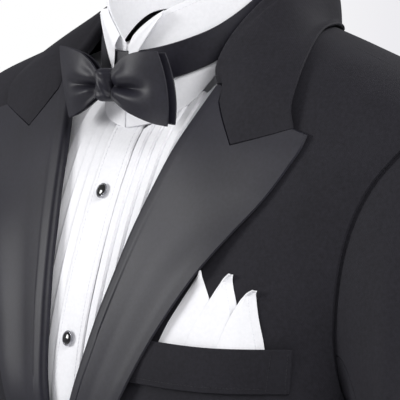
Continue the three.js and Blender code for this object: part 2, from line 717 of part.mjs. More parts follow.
// Shirt: how far its outer face lies inside the jacket's, and the neck that its collar stands round
const SHIRT_OUT = { chest: -4.6, neck: -8, closed: -7.1, waist: -4 };
const NECK = { y: -12, half: 63, front: 64, back: 59 };
const BAND = { tall: 21, wall: 1.6, clear: 1.9, frontZ: -35, tilt: 38, lift: 10 };
const STAND_RISE = table(["angle", "rise"], [
  [0, 14], [11, 24.5], [24, 32], [40, 35], [90, 29], [135, 22], [180, 18],
]);
const YOKE = { top: 6, foot: -49.4, from: 79 * DEG };
const PLACKET_TOP_Z = -74;
const STUD_ROWS = steps(0, STUDS - 1, STUDS - 1).map((i) => STUD_Z - i * STUD_PITCH);
const SHIRT_CUT = {
  front: 88 * DEG,
  back: 88 * DEG,
  shoulder: YOKE.from,
  grow: -3.5,
  topZ: ARMHOLE.z - ARMHOLE.rise + 3.5,
};
const SHIRT_ROWS = [
  -8, -20, -32, -42, -51.6, -62, PLACKET_TOP_Z, -90, STUD_ROWS[0], -145, -180, STUD_ROWS[1], -228, -248, -260,
  SHIRT_CUT.topZ, STUD_ROWS[2], -345, STUD_ROWS[3], -470, -560,
];
const SHIRT_SHARES = [0, 0.22, 0.48, 0.74, 1];

function shirtOut(z) {
  return SHIRT_OUT.chest + SHIRT_OUT.neck * ease(z, -85, -30) + SHIRT_OUT.closed * ease(z, -235, -292)
    + SHIRT_OUT.waist * ease(z, -340, -392);
}

// Where a row of the shirt's front meets the collar band: 0 where the row is below it
function shirtNeckX(z) {
  const neckY = (x) => NECK.y - NECK.front * Math.sqrt(1 - (x / NECK.half) ** 2);
  const gapAt = (x) => onFront(x, z, shirtOut(z)).y - neckY(x);
  if (gapAt(0) < 0) return 0;
  let [low, high] = [0, NECK.half - 0.5];
  for (let turn = 0; turn < 20; turn += 1) {
    const middle = (low + high) / 2;
    if (gapAt(middle) > 0) low = middle;
    else high = middle;
  }
  return low;
}

function shirtFront(side) {
  const face = (out) => pointGrid(SHIRT_ROWS, SHIRT_SHARES, (z, share) => {
    const start = angleAtX(Math.max(SEAM / 2, shirtNeckX(z) + 1), z);
    return sided(onBody(mix(start, frontLimit(z, SHIRT_CUT), share), z, shirtOut(z) + out), side);
  });
  return wallBetween(face(-BIB.under), face(-BIB.under - SHIRT_WALL));
}

// Bib: each pleat is a flat step and a short return, at a fixed distance from the middle
const BIB = {
  under: 2.3,
  inner: 1.35,
  outer: 0.4,
  foot: -345,
  placketFoot: -470,
  fold: 1.3,
  placketOut: 1.1,
};
const PLEAT_COLUMNS = steps(0, PLEATS_A_SIDE - 1, PLEATS_A_SIDE - 1).flatMap((i) => {
  const start = PLACKET_HALF + SEAM + i * PLEAT_PITCH;
  return [{ x: start, raised: 0 }, { x: start + PLEAT_PITCH - BIB.fold, raised: 1 }];
});

function shirtBib(side) {
  const rows = [
    -42, -51.6, -62, PLACKET_TOP_Z, -90, STUD_ROWS[0], -145, -180, STUD_ROWS[1], -228, -248, -260,
    STUD_ROWS[2], BIB.foot,
  ];
  const face = (outside) => rows.map((z) => PLEAT_COLUMNS.map(({ x, raised }, i) => {
    const held = Math.max(x, shirtNeckX(z) + 0.1 + 1.2 * i);
    const flat = held > x ? 0 : PLEAT_DEPTH * raised;
    return sided(onFront(held, z, shirtOut(z) + (outside ? flat - BIB.outer : -BIB.inner)), side);
  }));
  return wallBetween(face(true), face(false));
}

function shirtPlacket() {
  const rows = SHIRT_ROWS.filter((z) => z <= PLACKET_TOP_Z && z >= BIB.placketFoot);
  const face = (out) => pointGrid(rows, steps(-PLACKET_HALF, PLACKET_HALF, 3), (z, x) => (
    onFront(x, z, shirtOut(z) + out)
  ));
  return wallBetween(face(BIB.placketOut), face(-BIB.inner));
}

function shirtBack() {
  const rows = [-51.6, -80, -115, -150, -190, -228, -248, -260, SHIRT_CUT.topZ, -345, -430, -560];
  const face = (out) => pointGrid(rows, steps(-1, 1, 8), (z, share) => {
    const reach = Math.PI - backLimit(z, SHIRT_CUT);
    return onBody(Math.PI - share * reach, z, shirtOut(z) + out);
  });
  return wallBetween(face(-BIB.under), face(-BIB.under - SHIRT_WALL));
}

function shirtYoke() {
  const rows = [YOKE.top, -3, -14, -26, -38, YOKE.foot];
  const face = (out) => pointGrid(rows, steps(0, 1, 14), (z, share) => {
    const from = angleMoved(YOKE.from, z, SEAM);
    return onBody(mix(from, 2 * Math.PI - from, share), z, shirtOut(z) + out);
  });
  return wallBetween(face(-BIB.under), face(-BIB.under - SHIRT_WALL));
}

// Shirt sleeves pass through both armholes and keep clear of the jacket's sleeves
const SHIRT_SLEEVE = { inset: 6.5, grow: -6.6, out: -7, endShare: 0.87, cuffStart: 0.8722, show: 13 };

function shirtSleeveFace(angle, share) {
  const start = armhole(angle, SHIRT_SLEEVE.grow, SHIRT_SLEEVE.out);
  if (share === 0) return start;
  const inner = sleeveFace(angle, share).addScaledVector(sleeveNormal(angle, share), -SHIRT_SLEEVE.inset);
  return start.lerp(inner, ease(share, 0, 0.1));
}

function shirtSleeve(side) {
  const shares = [0, 0.05, 0.11, 0.19, 0.28, CAP_SHARE, 0.63, SHIRT_SLEEVE.endShare];
  const angles = steps(0, 2 * Math.PI, 12).slice(0, -1);
  const grid = pointGrid(shares, angles, (share, angle) => sided(shirtSleeveFace(angle, share), side));
  return thickened(grid, SHIRT_WALL, true);
}

const CUFF = { wall: 1.6, outward: 0.5, forward: 2.5 };

function shirtCuff(side) {
  const topZ = mix(BICEP_Z, SLEEVE_HEM_Z, (SHIRT_SLEEVE.cuffStart - CAP_SHARE) / (1 - CAP_SHARE));
  const angles = steps(0, 2 * Math.PI, 16).slice(0, -1);
  const grid = pointGrid([topZ, SLEEVE_HEM_Z - SHIRT_SLEEVE.show], angles, (z, angle) => {
    const ring = armRing(angle, z, SHIRT_SLEEVE.inset);
    ring.z = z + 2 * Math.cos(angle);
    if (z < SLEEVE_HEM_Z) ring.add(new THREE.Vector3(CUFF.outward, -CUFF.forward, 0));
    return sided(ring, side);
  });
  return thickened(grid, CUFF.wall, true);
}

// Collar band round the neck, its wings and the bow's band. Angle 0 is the middle of the front.
function roundNeck(angle, z, out = 0) {
  const c = Math.cos(angle);
  const depth = (c > 0 ? NECK.front : NECK.back) + out;
  return new THREE.Vector3((NECK.half + out) * Math.sin(angle), NECK.y - depth * c, z);
}

function bandZ(angle) {
  return BAND.frontZ + BAND.tilt * (1 - Math.cos(angle)) + BAND.lift * ease(degreesFromFront(angle), 50, 105);
}

function degreesFromFront(angle) {
  const turn = Math.abs(angle / DEG) % 360;
  return Math.min(turn, 360 - turn);
}

function standTopZ(angle) {
  return bandZ(angle) + curve(degreesFromFront(angle), STAND_RISE.angle, STAND_RISE.rise);
}

const STAND_LOW = table(["angle", "z"], [
  [0, -73], [29, -64.8], [45, -53], [59, -34], [68, -23], [79, -12], [90, -3], [120, 4], [180, 7],
]);

const STAND_HALF_WALL = 0.6;

function shirtStand() {
  const half = [0.6, 12, 24, 36, 48, 60, 74, 90, 108, 126, 144, 162, 180].map((a) => a * DEG);
  const angles = [...half, ...half.slice(0, -1).reverse().map((a) => 2 * Math.PI - a)];
  const face = (out) => pointGrid([0, 1], angles, (share, angle) => {
    const low = curve(degreesFromFront(angle), STAND_LOW.angle, STAND_LOW.z);
    return roundNeck(angle, mix(low, standTopZ(angle), share), out);
  });
  return wallBetween(face(STAND_HALF_WALL), face(-STAND_HALF_WALL));
}

// A wing is the stand's front corner pressed down over the band
const WING = { from: 6.5, to: 27, wall: 1, longest: 22, shortest: 3 };
const WING_FALL = table(["down", "out"], [[0, 1.6], [0.12, 3.4], [0.25, 4.8], [0.6, 5.2], [1, 5.8]]);

function shirtWing(side) {
  const grid = pointGrid(WING_FALL.down, steps(0, 1, 4), (down, share) => {
    const angle = mix(WING.from, WING.to, share) * DEG;
    const drop = down * mix(WING.longest, WING.shortest, share);
    const p = roundNeck(angle, standTopZ(angle) - drop, curve(down, WING_FALL.down, WING_FALL.out));
    return sided(p, side);
  });
  return thickened(grid, WING.wall);
}

const STUD = [[0, 0], [2.6, 0], [4.6, 0.7], [5, 1.4], [4.3, 2.2], [0, 2.8]];

function stud(i) {
  const z = STUD_ROWS[i];
  const seat = onFront(0, z, shirtOut(z) + BIB.placketOut + SEAM);
  return turned(STUD, 10, seat, bodyNormal(onFront(0, z)));
}

for (const [word, side] of [["left", 1], ["right", -1]]) {
  addPiece(`shirt_front_${word}`, shirtFront(side), COTTON);
  addPiece(`shirt_bib_${word}`, shirtBib(side), COTTON);
  addPiece(`shirt_sleeve_${word}`, shirtSleeve(side), COTTON);
  addPiece(`shirt_cuff_${word}`, shirtCuff(side), COTTON);
  addPiece(`shirt_wing_${word}`, shirtWing(side), COTTON);
}
addPiece("shirt_placket", shirtPlacket(), COTTON);
addPiece("shirt_back", shirtBack(), COTTON);
addPiece("shirt_yoke", shirtYoke(), COTTON);
addPiece("shirt_stand", shirtStand(), COTTON);
for (let i = 0; i < STUDS; i += 1) addPiece(`stud_${i + 1}`, stud(i), BLACK_STUD);

// Bow tie: band, knot and two pairs of wings, the back pair a little wider
const BOW = { y: -93, z: -45.5, knotHalf: 8, recede: 8, shear: 0.26, wall: 2 };
const BOW_TALL = table(["share", "up", "down"], [
  [0, 9, 8.2], [0.12, 13.8, 10.8], [0.3, 18.2, 14.8], [0.5, 20.6, 18.2], [0.78, 22.2, 21.6], [1, 22.5, 23],
]);
const KNOT = table(["v", "across", "deep", "back"], [
  [-10.5, 4, 3, 10.4], [-9, 7, 5.2, 12], [-4, 7.6, 6.2, 12.9],
  [4, 7.6, 6.2, 12.9], [9, 7.4, 5.4, 12], [10.5, 4.6, 3.2, 10.4],
]);

function tieBand() {
  const angles = steps(0, 2 * Math.PI, 28).slice(0, -1);
  const face = (out) => pointGrid([1, -1], angles, (end, angle) => (
    roundNeck(angle, bandZ(angle) + (end * BAND.tall) / 2, out)
  ));
  return wallBetween(face(BAND.clear + BAND.wall), face(BAND.clear), true);
}

function tieKnot() {
  const sides = 12;
  const positions = [];
  const index = [];
  KNOT.v.forEach((v, r) => {
    for (let i = 0; i < sides; i += 1) {
      const a = (2 * Math.PI * i) / sides;
      const depth = Math.cos(a) > 0 ? KNOT.deep[r] : KNOT.back[r];
      positions.push(KNOT.across[r] * Math.sin(a), BOW.y - depth * Math.cos(a), BOW.z + v);
    }
  });
  const rings = KNOT.v.length;
  for (let r = 0; r < rings - 1; r += 1) {
    for (let i = 0; i < sides; i += 1) {
      const j = (i + 1) % sides;
      index.push(r * sides + i, r * sides + j, (r + 1) * sides + j);
      index.push(r * sides + i, (r + 1) * sides + j, (r + 1) * sides + i);
    }
  }
  for (let i = 1; i < sides - 1; i += 1) {
    const last = (rings - 1) * sides;
    index.push(0, i + 1, i);
    index.push(last, last + i, last + i + 1);
  }
  return facingOut(positions, index);
}

function bowWing(side, layer) {
  const reach = layer.reach;
  const grid = pointGrid([0, 0.14, 0.3, 0.5, 0.75, 1], [-1, -0.66, -0.33, 0, 0.33, 0.66, 1], (t, v) => {
    const z = v * curve(t, BOW_TALL.share, v > 0 ? BOW_TALL.up : BOW_TALL.down) * layer.tall;
    const x = mix(BOW.knotHalf, reach + 3 * (1 - v * v) - side * BOW.shear * z, t);
    const pinch = 2.4 * Math.exp(-((v / 0.3) ** 2)) * (1 - t) ** 2;
    const puff = 2 * (1 - v * v) * Math.sin(Math.PI * t) + 1.2 * v * v * t;
    return new THREE.Vector3(x * side, BOW.y + layer.y + BOW.recede * t * t + pinch - puff, BOW.z + z);
  });
  return thickened(grid, BOW.wall);
}

addPiece("tie_band", tieBand(), SATIN);
addPiece("tie_knot", tieKnot(), SATIN);
for (const [word, side] of [["left", 1], ["right", -1]]) {
  addPiece(`bow_front_${word}`, bowWing(side, { y: -1.6, reach: 50, tall: 1 }), SATIN);
  addPiece(`bow_back_${word}`, bowWing(side, { y: 4.2, reach: 53, tall: 0.94 }), SATIN);
}

// Trousers: rings of the hips that part into two legs
const TROUSER_OUT = -8.8;
const WAISTBAND = { top: -394, foot: -431, wall: 2.4, out: -8.6 };
const LEG = table(["z", "x", "y", "across", "front", "back"], [
  [-1460, 104, 10, 65, 66, 70],
  [-1250, 102, 8, 67, 69, 73],
  [-960, 99, 3, 73, 77, 81],
  [-820, 96, 2, 83, 88, 90],
  [-700, 94, 4, 91.5, 102, 98],
  [-600, 94, 4, 92, 106, 100],
]);
const FORK = { from: -600, to: -712 };
const TROUSER_ROWS = [-432.4, -500, -570, -615, -650, -682, -713, -780, -960, -1200, TROUSER_HEM_Z];
const TROUSER_SHARES = [0, 0.18, 0.36, 0.5, 0.64, 0.82, 1];
const CREASE = { proud: 4, width: 0.1 };

// Share 0 is the middle seam or the inseam, 1 the side seam; facing 1 is the front, -1 the back
function trouserPoint(facing, share, z, out) {
  const hipAngle = facing > 0 ? share * 90 * DEG : Math.PI - share * 90 * DEG;
  const hip = onBody(hipAngle, Math.max(z, HEM_Z), TROUSER_OUT + out);
  hip.z = z;
  const read = (name) => curve(z, LEG.z, LEG[name]);
  const turn = Math.PI * (1 - share);
  const depth = (facing > 0 ? read("front") : read("back")) + out;
  const leg = new THREE.Vector3(
    read("x") + (read("across") + out) * Math.cos(turn),
    read("y") - facing * depth * Math.sin(turn),
    z,
  );
  const p = hip.lerp(leg, ease(z, FORK.from, FORK.to));
  const crease = CREASE.proud * Math.exp(-(((share - 0.5) / CREASE.width) ** 2)) * ease(z, -470, -620);
  p.y -= facing * crease;
  return p;
}

// Above the fork a panel keeps clear of the other side's, and at a leg's seams front keeps clear of back
function trouserPanel(side, facing) {
  const face = (out) => pointGrid(TROUSER_ROWS, TROUSER_SHARES, (z, share) => {
    const p = trouserPoint(facing, share, z, out);
    if (share === 0) p.x = Math.max(p.x, SEAM / 2);
    if (share === 1 || (share === 0 && z < FORK.from)) p.y -= (facing * SEAM) / 2;
    return sided(p, side);
  });
  return wallBetween(face(0), face(-TROUSER_WALL));
}

function waistband() {
  const angles = steps(0.004, 2 * Math.PI - 0.004, 28);
  const face = (out) => pointGrid([WAISTBAND.top, WAISTBAND.foot], angles, (z, angle) => (
    onBody(angle, z, WAISTBAND.out + out)
  ));
  return wallBetween(face(0), face(-WAISTBAND.wall));
}

const BRAID = { half: 8, wall: 1, out: 0.5 };

function sideBraid(side) {
  const face = (out) => pointGrid(TROUSER_ROWS, [-1, 0, 1], (z, edge) => {
    const p = trouserPoint(1, 1, z, out);
    p.y += edge * BRAID.half;
    p.x -= 0.35 * Math.abs(edge);
    return sided(p, side);
  });
  return wallBetween(face(BRAID.out + BRAID.wall), face(BRAID.out));
}

for (const [word, side] of [["left", 1], ["right", -1]]) {
  addPiece(`trouser_front_${word}`, trouserPanel(side, 1), WOOL);
  addPiece(`trouser_back_${word}`, trouserPanel(side, -1), WOOL);
  addPiece(`side_braid_${word}`, sideBraid(side), SATIN);
}
addPiece("trouser_waistband", waistband(), WOOL);

export default suit;
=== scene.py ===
# Dinner suit as it is worn, with no wearer. Tables are in millimetres, and meshes are made in metres.
import math

import bpy
import numpy as np
from mathutils import Matrix, Vector


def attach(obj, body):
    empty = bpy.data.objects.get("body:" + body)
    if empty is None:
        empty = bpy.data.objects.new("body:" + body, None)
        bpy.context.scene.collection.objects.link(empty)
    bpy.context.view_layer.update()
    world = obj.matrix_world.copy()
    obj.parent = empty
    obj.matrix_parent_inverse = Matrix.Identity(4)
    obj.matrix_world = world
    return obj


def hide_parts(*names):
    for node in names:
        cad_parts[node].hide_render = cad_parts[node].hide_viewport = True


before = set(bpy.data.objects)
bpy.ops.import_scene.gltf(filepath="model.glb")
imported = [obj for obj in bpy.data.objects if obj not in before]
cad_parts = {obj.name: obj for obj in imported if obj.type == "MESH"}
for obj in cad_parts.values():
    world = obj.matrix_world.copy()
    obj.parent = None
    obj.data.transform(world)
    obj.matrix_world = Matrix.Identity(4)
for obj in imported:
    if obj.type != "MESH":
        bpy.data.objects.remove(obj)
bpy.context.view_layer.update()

DEG = math.pi / 180
MM = 0.001
SIDES = (("left", 1), ("right", -1))

SEAM = 0.3
JACKET_WALL = 2.5
LAPEL_WALL = 2
SHIRT_WALL = 1.2
TROUSER_WALL = 2
HEM_Z = -745
BUTTON_Z = -405
TROUSER_HEM_Z = -1460
NECKLINE_X = 77
PLACKET_HALF = 13
PLEAT_PITCH = 9.5
PLEATS_A_SIDE = 7
STUD_Z = -112
STUD_PITCH = 93.5
STUDS = 4


# Tables and curves
def table(columns, rows):
    return {name: [row[i] for row in rows] for i, name in enumerate(columns)}


def curve(x, xs, ys):
    """Smooth curve through a table's points, held at the ends."""
    xs, ys = np.array(xs, float), np.array(ys, float)
    x = np.clip(np.asarray(x, float), xs[0], xs[-1])
    h = np.diff(xs)
    rate = np.diff(ys) / h
    slope = np.empty_like(ys)
    slope[0], slope[-1] = rate[0], rate[-1]
    slope[1:-1] = (rate[:-1] * h[1:] + rate[1:] * h[:-1]) / (h[:-1] + h[1:])
    i = np.clip(np.searchsorted(xs, x, side="right") - 1, 0, len(xs) - 2)
    t = (x - xs[i]) / h[i]
    ends = ys[i] * (1 + 2 * t) * (1 - t) ** 2 + ys[i + 1] * t * t * (3 - 2 * t)
    return ends + h[i] * (slope[i] * t * (1 - t) ** 2 - slope[i + 1] * t * t * (1 - t))


def read(data, name, x):
    """A table's column at a place in its first column."""
    return curve(x, next(iter(data.values())), data[name])


def mix(a, b, t):
    return a + (b - a) * t


def ease(x, start, end):
    t = np.clip((np.asarray(x, float) - start) / (end - start), 0, 1)
    return t * t * (3 - 2 * t)


def vec(x, y, z):
    return np.stack(np.broadcast_arrays(x, y, z), -1).astype(float)


def unit(v):
    return v / np.maximum(np.linalg.norm(v, axis=-1, keepdims=True), 1e-9)


def finer(values, parts):
    """A list of values with each step between them cut into equal parts."""
    out = [np.linspace(a, b, parts, endpoint=False) for a, b in zip(values[:-1], values[1:])]
    return np.concatenate([*out, [values[-1]]])


def smooth_rows(grid, knots, at):
    """A grid of points read at finer places along its first axis."""
    flat = np.asarray(grid, float).reshape(len(grid), -1)
    cols = [curve(at, knots, flat[:, i]) for i in range(flat.shape[1])]
    return np.stack(cols, -1).reshape((len(at), *np.asarray(grid).shape[1:]))


def smooth_columns(grid, knots, at):
    return np.swapaxes(smooth_rows(np.swapaxes(grid, 0, 1), knots, at), 0, 1)


# The figure's rings
BODY = table(
    ["z", "half", "front", "back", "power"],
    [
        [-745, 200, 128, 126, 2.4],
        [-660, 197, 125, 122, 2.4],
        [-580, 190, 121, 112, 2.4],
        [-500, 180, 117, 99, 2.4],
        [-425, 172, 114, 93, 2.4],
        [-360, 176, 119, 100, 2.45],
        [-300, 183, 125, 110, 2.5],
        [-240, 191, 126, 117, 2.5],
        [-200, 203, 121, 119, 2.5],
        [-160, 219, 112, 117, 2.5],
        [-130, 228, 103, 113, 2.5],
        [-100, 234, 92, 106, 2.5],
        [-75, 235, 81, 97, 2.5],
        [-50, 225, 68, 86, 2.4],
        [-30, 172, 56, 74, 2.3],
        [-15, 124, 45, 64, 2.2],
        [0, 76, 31, 52, 2.1],
        [20, 60, 26, 48, 2.0],
        [60, 56, 24, 46, 2.0],
    ],
)


def ring_at(z):
    return [read(BODY, n, z) for n in ("half", "front", "back", "power")]


def ring_measure(p):
    half, front, back, power = ring_at(p[..., 2])
    depth = np.where(p[..., 1] < 0, front, back)
    return np.abs(p[..., 0] / half) ** power + np.abs(p[..., 1] / depth) ** power - 1


def body_normal(p):
    e = np.eye(3) * 0.4
    return unit(np.stack([ring_measure(p + d) - ring_measure(p - d) for d in e], -1))


def moved_out(p, out):
    return p + body_normal(p) * np.asarray(out, float)[..., None]


def on_body(angle, z, out=0.0):
    half, front, back, power = ring_at(z)
    s, c = np.sin(angle), np.cos(angle)
    depth = np.where(c > 0, front, back)
    x = half * np.sign(s) * np.abs(s) ** (2 / power)
    y = -depth * np.sign(c) * np.abs(c) ** (2 / power)
    return moved_out(vec(x, y, z), out)


def on_front(x, z, out=0.0):
    half, front, _, power = ring_at(z)
    y = -front * np.maximum(1 - np.abs(x / half) ** power, 0) ** (1 / power)
    return moved_out(vec(x, y, z), out)


def on_side(y, z, out=0.0):
    half, front, back, power = ring_at(z)
    depth = np.where(np.asarray(y) < 0, front, back)
    x = half * np.maximum(1 - np.abs(y / depth) ** power, 0) ** (1 / power)
    return moved_out(vec(x, y, z), out)


def angle_at_x(x, z):
    half, _, _, power = ring_at(z)
    return np.sign(x) * np.arcsin(np.minimum(np.abs(x / half), 1) ** (power / 2))


def angle_at_y(y, z):
    _, front, back, power = ring_at(z)
    y = np.asarray(y, float)
    angle = np.arccos(np.minimum(np.abs(y / np.where(y < 0, front, back)), 1) ** (power / 2))
    return np.where(y < 0, angle, math.pi - angle)


def angle_moved(angle, z, length):
    e = 0.01
    step = np.linalg.norm(on_body(angle + e, z) - on_body(angle, z), axis=-1)
    return angle + length * e / step


def cleared(p, out):
    q = p.copy()
    e = 0.4
    for _ in range(4):
        normal = body_normal(q)
        here = ring_measure(q)
        distance = here * e / (ring_measure(q + normal * e) - here)
        q += normal * np.maximum(out - distance, 0)[..., None]
    return q


def sided(p, side):
    return p * np.array([side, 1, 1])


# Materials
def linear(r, g, b):
    """A colour given as 0 to 255 in sRGB, as Blender's linear one."""
    return [(c / 255 / 12.92) if c <= 10 else ((c / 255 + 0.055) / 1.055) ** 2.4 for c in (r, g, b)]


def cloth_material(name, dark, light, roughness, thread, bump, sheen=0.0, sheen_tint=None, specular=0.5):
    """Cloth with crossed threads a pitch apart in millimetres, and uneven colour between two shades."""
    m = bpy.data.materials.new(name)
    m.use_nodes = True
    nodes, links = m.node_tree.nodes, m.node_tree.links
    shader = nodes["Principled BSDF"]
    place = nodes.new("ShaderNodeTexCoord")

    def wave(direction, pitch):
        w = nodes.new("ShaderNodeTexWave")
        w.wave_type = "BANDS"
        w.bands_direction = direction
        w.inputs["Scale"].default_value = 0.314 / (pitch * MM)
        w.inputs["Distortion"].default_value = 0.6
        w.inputs["Detail"].default_value = 1.0
        w.inputs["Detail Scale"].default_value = 0.5
        links.new(place.outputs["Object"], w.inputs["Vector"])
        return w

    def noise(size, detail):
        n = nodes.new("ShaderNodeTexNoise")
        n.inputs["Scale"].default_value = 1 / (size * MM)
        n.inputs["Detail"].default_value = detail
        links.new(place.outputs["Object"], n.inputs["Vector"])
        return n

    def maths(kind, a, b):
        n = nodes.new("ShaderNodeMath")
        n.operation = kind
        for socket, value in zip(n.inputs, (a, b)):
            if isinstance(value, (int, float)):
                socket.default_value = value
            else:
                links.new(value, socket)
        return n.outputs[0]

    warp = wave("DIAGONAL", thread)
    weft = wave("Z", thread)
    weave = maths("MULTIPLY", warp.outputs["Fac"], weft.outputs["Fac"])
    slub = noise(2.2, 4.0)
    cloud = noise(45.0, 2.0)
    fine, broad = (maths("MULTIPLY", n.outputs["Fac"], part) for n, part in ((slub, 0.6), (cloud, 0.4)))
    shade = maths("ADD", fine, broad)
    ramp = nodes.new("ShaderNodeValToRGB")
    ramp.color_ramp.elements[0].position = 0.34
    ramp.color_ramp.elements[0].color = (*linear(*dark), 1)
    ramp.color_ramp.elements[1].position = 0.66
    ramp.color_ramp.elements[1].color = (*linear(*light), 1)
    links.new(shade, ramp.inputs["Fac"])
    links.new(ramp.outputs["Color"], shader.inputs["Base Color"])
    height = maths("ADD", maths("MULTIPLY", weave, 0.7), maths("MULTIPLY", slub.outputs["Fac"], 0.5))
    relief = nodes.new("ShaderNodeBump")
    relief.inputs["Strength"].default_value = bump
    relief.inputs["Distance"].default_value = 0.12 * MM
    links.new(height, relief.inputs["Height"])
    links.new(relief.outputs["Normal"], shader.inputs["Normal"])
    shader.inputs["Roughness"].default_value = roughness
    shader.inputs["Specular IOR Level"].default_value = specular
    if sheen:
        shader.inputs["Sheen Weight"].default_value = sheen
        shader.inputs["Sheen Roughness"].default_value = 0.45
        shader.inputs["Sheen Tint"].default_value = (*linear(*sheen_tint), 1)
    return m


def hard_material(name, colour, roughness, metallic=0.0, coat=0.0):
    m = bpy.data.materials.new(name)
    m.use_nodes = True
    nodes, links = m.node_tree.nodes, m.node_tree.links
    shader = nodes["Principled BSDF"]
    place = nodes.new("ShaderNodeTexCoord")
    n = nodes.new("ShaderNodeTexNoise")
    n.inputs["Scale"].default_value = 900
    links.new(place.outputs["Object"], n.inputs["Vector"])
    ramp = nodes.new("ShaderNodeValToRGB")
    base = linear(*colour)
    ramp.color_ramp.elements[0].color = (*[c * 0.9 for c in base], 1)
    ramp.color_ramp.elements[1].color = (*[min(c * 1.1, 1) for c in base], 1)
    links.new(n.outputs["Fac"], ramp.inputs["Fac"])
    links.new(ramp.outputs["Color"], shader.inputs["Base Color"])
    shader.inputs["Roughness"].default_value = roughness
    shader.inputs["Metallic"].default_value = metallic
    shader.inputs["Coat Weight"].default_value = coat
    return m


# Each material with its slot: two shades, roughness, thread pitch, relief, and then sheen and gloss
WOOL = (
    cloth_material("wool", (26, 25, 30), (35, 34, 40), 0.8, 0.9, 0.35, 0.05, (120, 118, 135), 0.22),
    "black_wool",
)
SATIN = (
    cloth_material("satin", (21, 20, 28), (31, 30, 40), 0.48, 0.45, 0.16, 0.03, (150, 148, 170), 0.3),
    "black_satin",
)
COTTON = (
    cloth_material("cotton", (243, 243, 246), (250, 250, 253), 0.85, 0.5, 0.25, 0.05, (255, 255, 255), 0.3),
    "white_cotton",
)
THREAD = (cloth_material("white_thread", (226, 226, 232), (238, 238, 243), 0.7, 0.3, 0.2), "white_cotton")
DARK_THREAD = (cloth_material("black_thread", (24, 23, 28), (34, 33, 38), 0.6, 0.3, 0.2), "black_wool")
BLACK = (hard_material("black_stud", (10, 10, 12), 0.12, 0.0, 0.6), "black_stud")
SILVER = (hard_material("silver_rim", (190, 190, 196), 0.22, 1.0), "black_stud")


# Creases: soft ridges (proud) and troughs (negative), each along a line, with a width and a depth
CREASES = {"jacket": [], "sleeve": [], "trousers": []}
CREASE_SCALE = {"jacket": 1.15, "sleeve": 1.7, "trousers": 2.1}


def crease(group, start, end, width, depth, mirrored=1.0):
    """A crease on the wearer's left, and one on the right with its depth changed."""
    depth = depth * CREASE_SCALE[group]
    CREASES[group].append((start, end, width, depth))
    if mirrored:
        flip = np.array([-1, 1, 1])
        low = np.array([0, 0, -7.0])
        start, end = np.array(start) * flip + low, np.array(end) * flip - low * 0.5
        CREASES[group].append((start, end, width * 1.1, depth * mirrored))


def creased(group, p):
    """How far a group's creases move each point out."""
    total = np.zeros(p.shape[:-1])
    for start, end, width, depth in CREASES[group]:
        a, b = np.array(start, float), np.array(end, float)
        t = np.clip(((p - a) @ (b - a)) / ((b - a) @ (b - a)), 0, 1)
        away = np.linalg.norm(p - (a + t[..., None] * (b - a)), axis=-1)
        swell = 0.35 + 0.65 * np.sin(math.pi * np.clip(t, 0.02, 0.98)) ** 0.8
        total += depth * swell * np.exp(-((away / width) ** 2))
    return total


def wavered(p, size, depth, seed):
    """Slight unevenness of a hanging cloth: a few slow waves, the same on every run."""
    rng = np.random.default_rng(seed)
    total = np.zeros(p.shape[:-1])
    for _ in range(5):
        direction = unit(rng.normal(size=3))
        length = size * rng.uniform(0.6, 1.6)
        total += np.sin(p @ direction * 2 * math.pi / length + rng.uniform(0, 6.28))
    return total * depth / 3


# Meshes
def grid_normals(grid, closed, axis):
    if closed:
        along = np.roll(grid, -1, 1) - np.roll(grid, 1, 1)
    else:
        along = np.gradient(grid, axis=1)
    down = np.gradient(grid, axis=0)
    n = unit(np.cross(along, down))
    outward = grid - np.array(axis, float)
    return n if (n * outward).sum() > 0 else -n


def perimeter(rows, columns):
    top = [(0, c) for c in range(columns - 1)]
    right = [(r, columns - 1) for r in range(rows - 1)]
    bottom = [(rows - 1, c) for c in range(columns - 1, 0, -1)]
    left = [(r, 0) for r in range(rows - 1, 0, -1)]
    return top + right + bottom + left


EDGE_ROUND = 0.8
SMOOTH_TURN = 42 * DEG
LEAST_CUT = 0.011


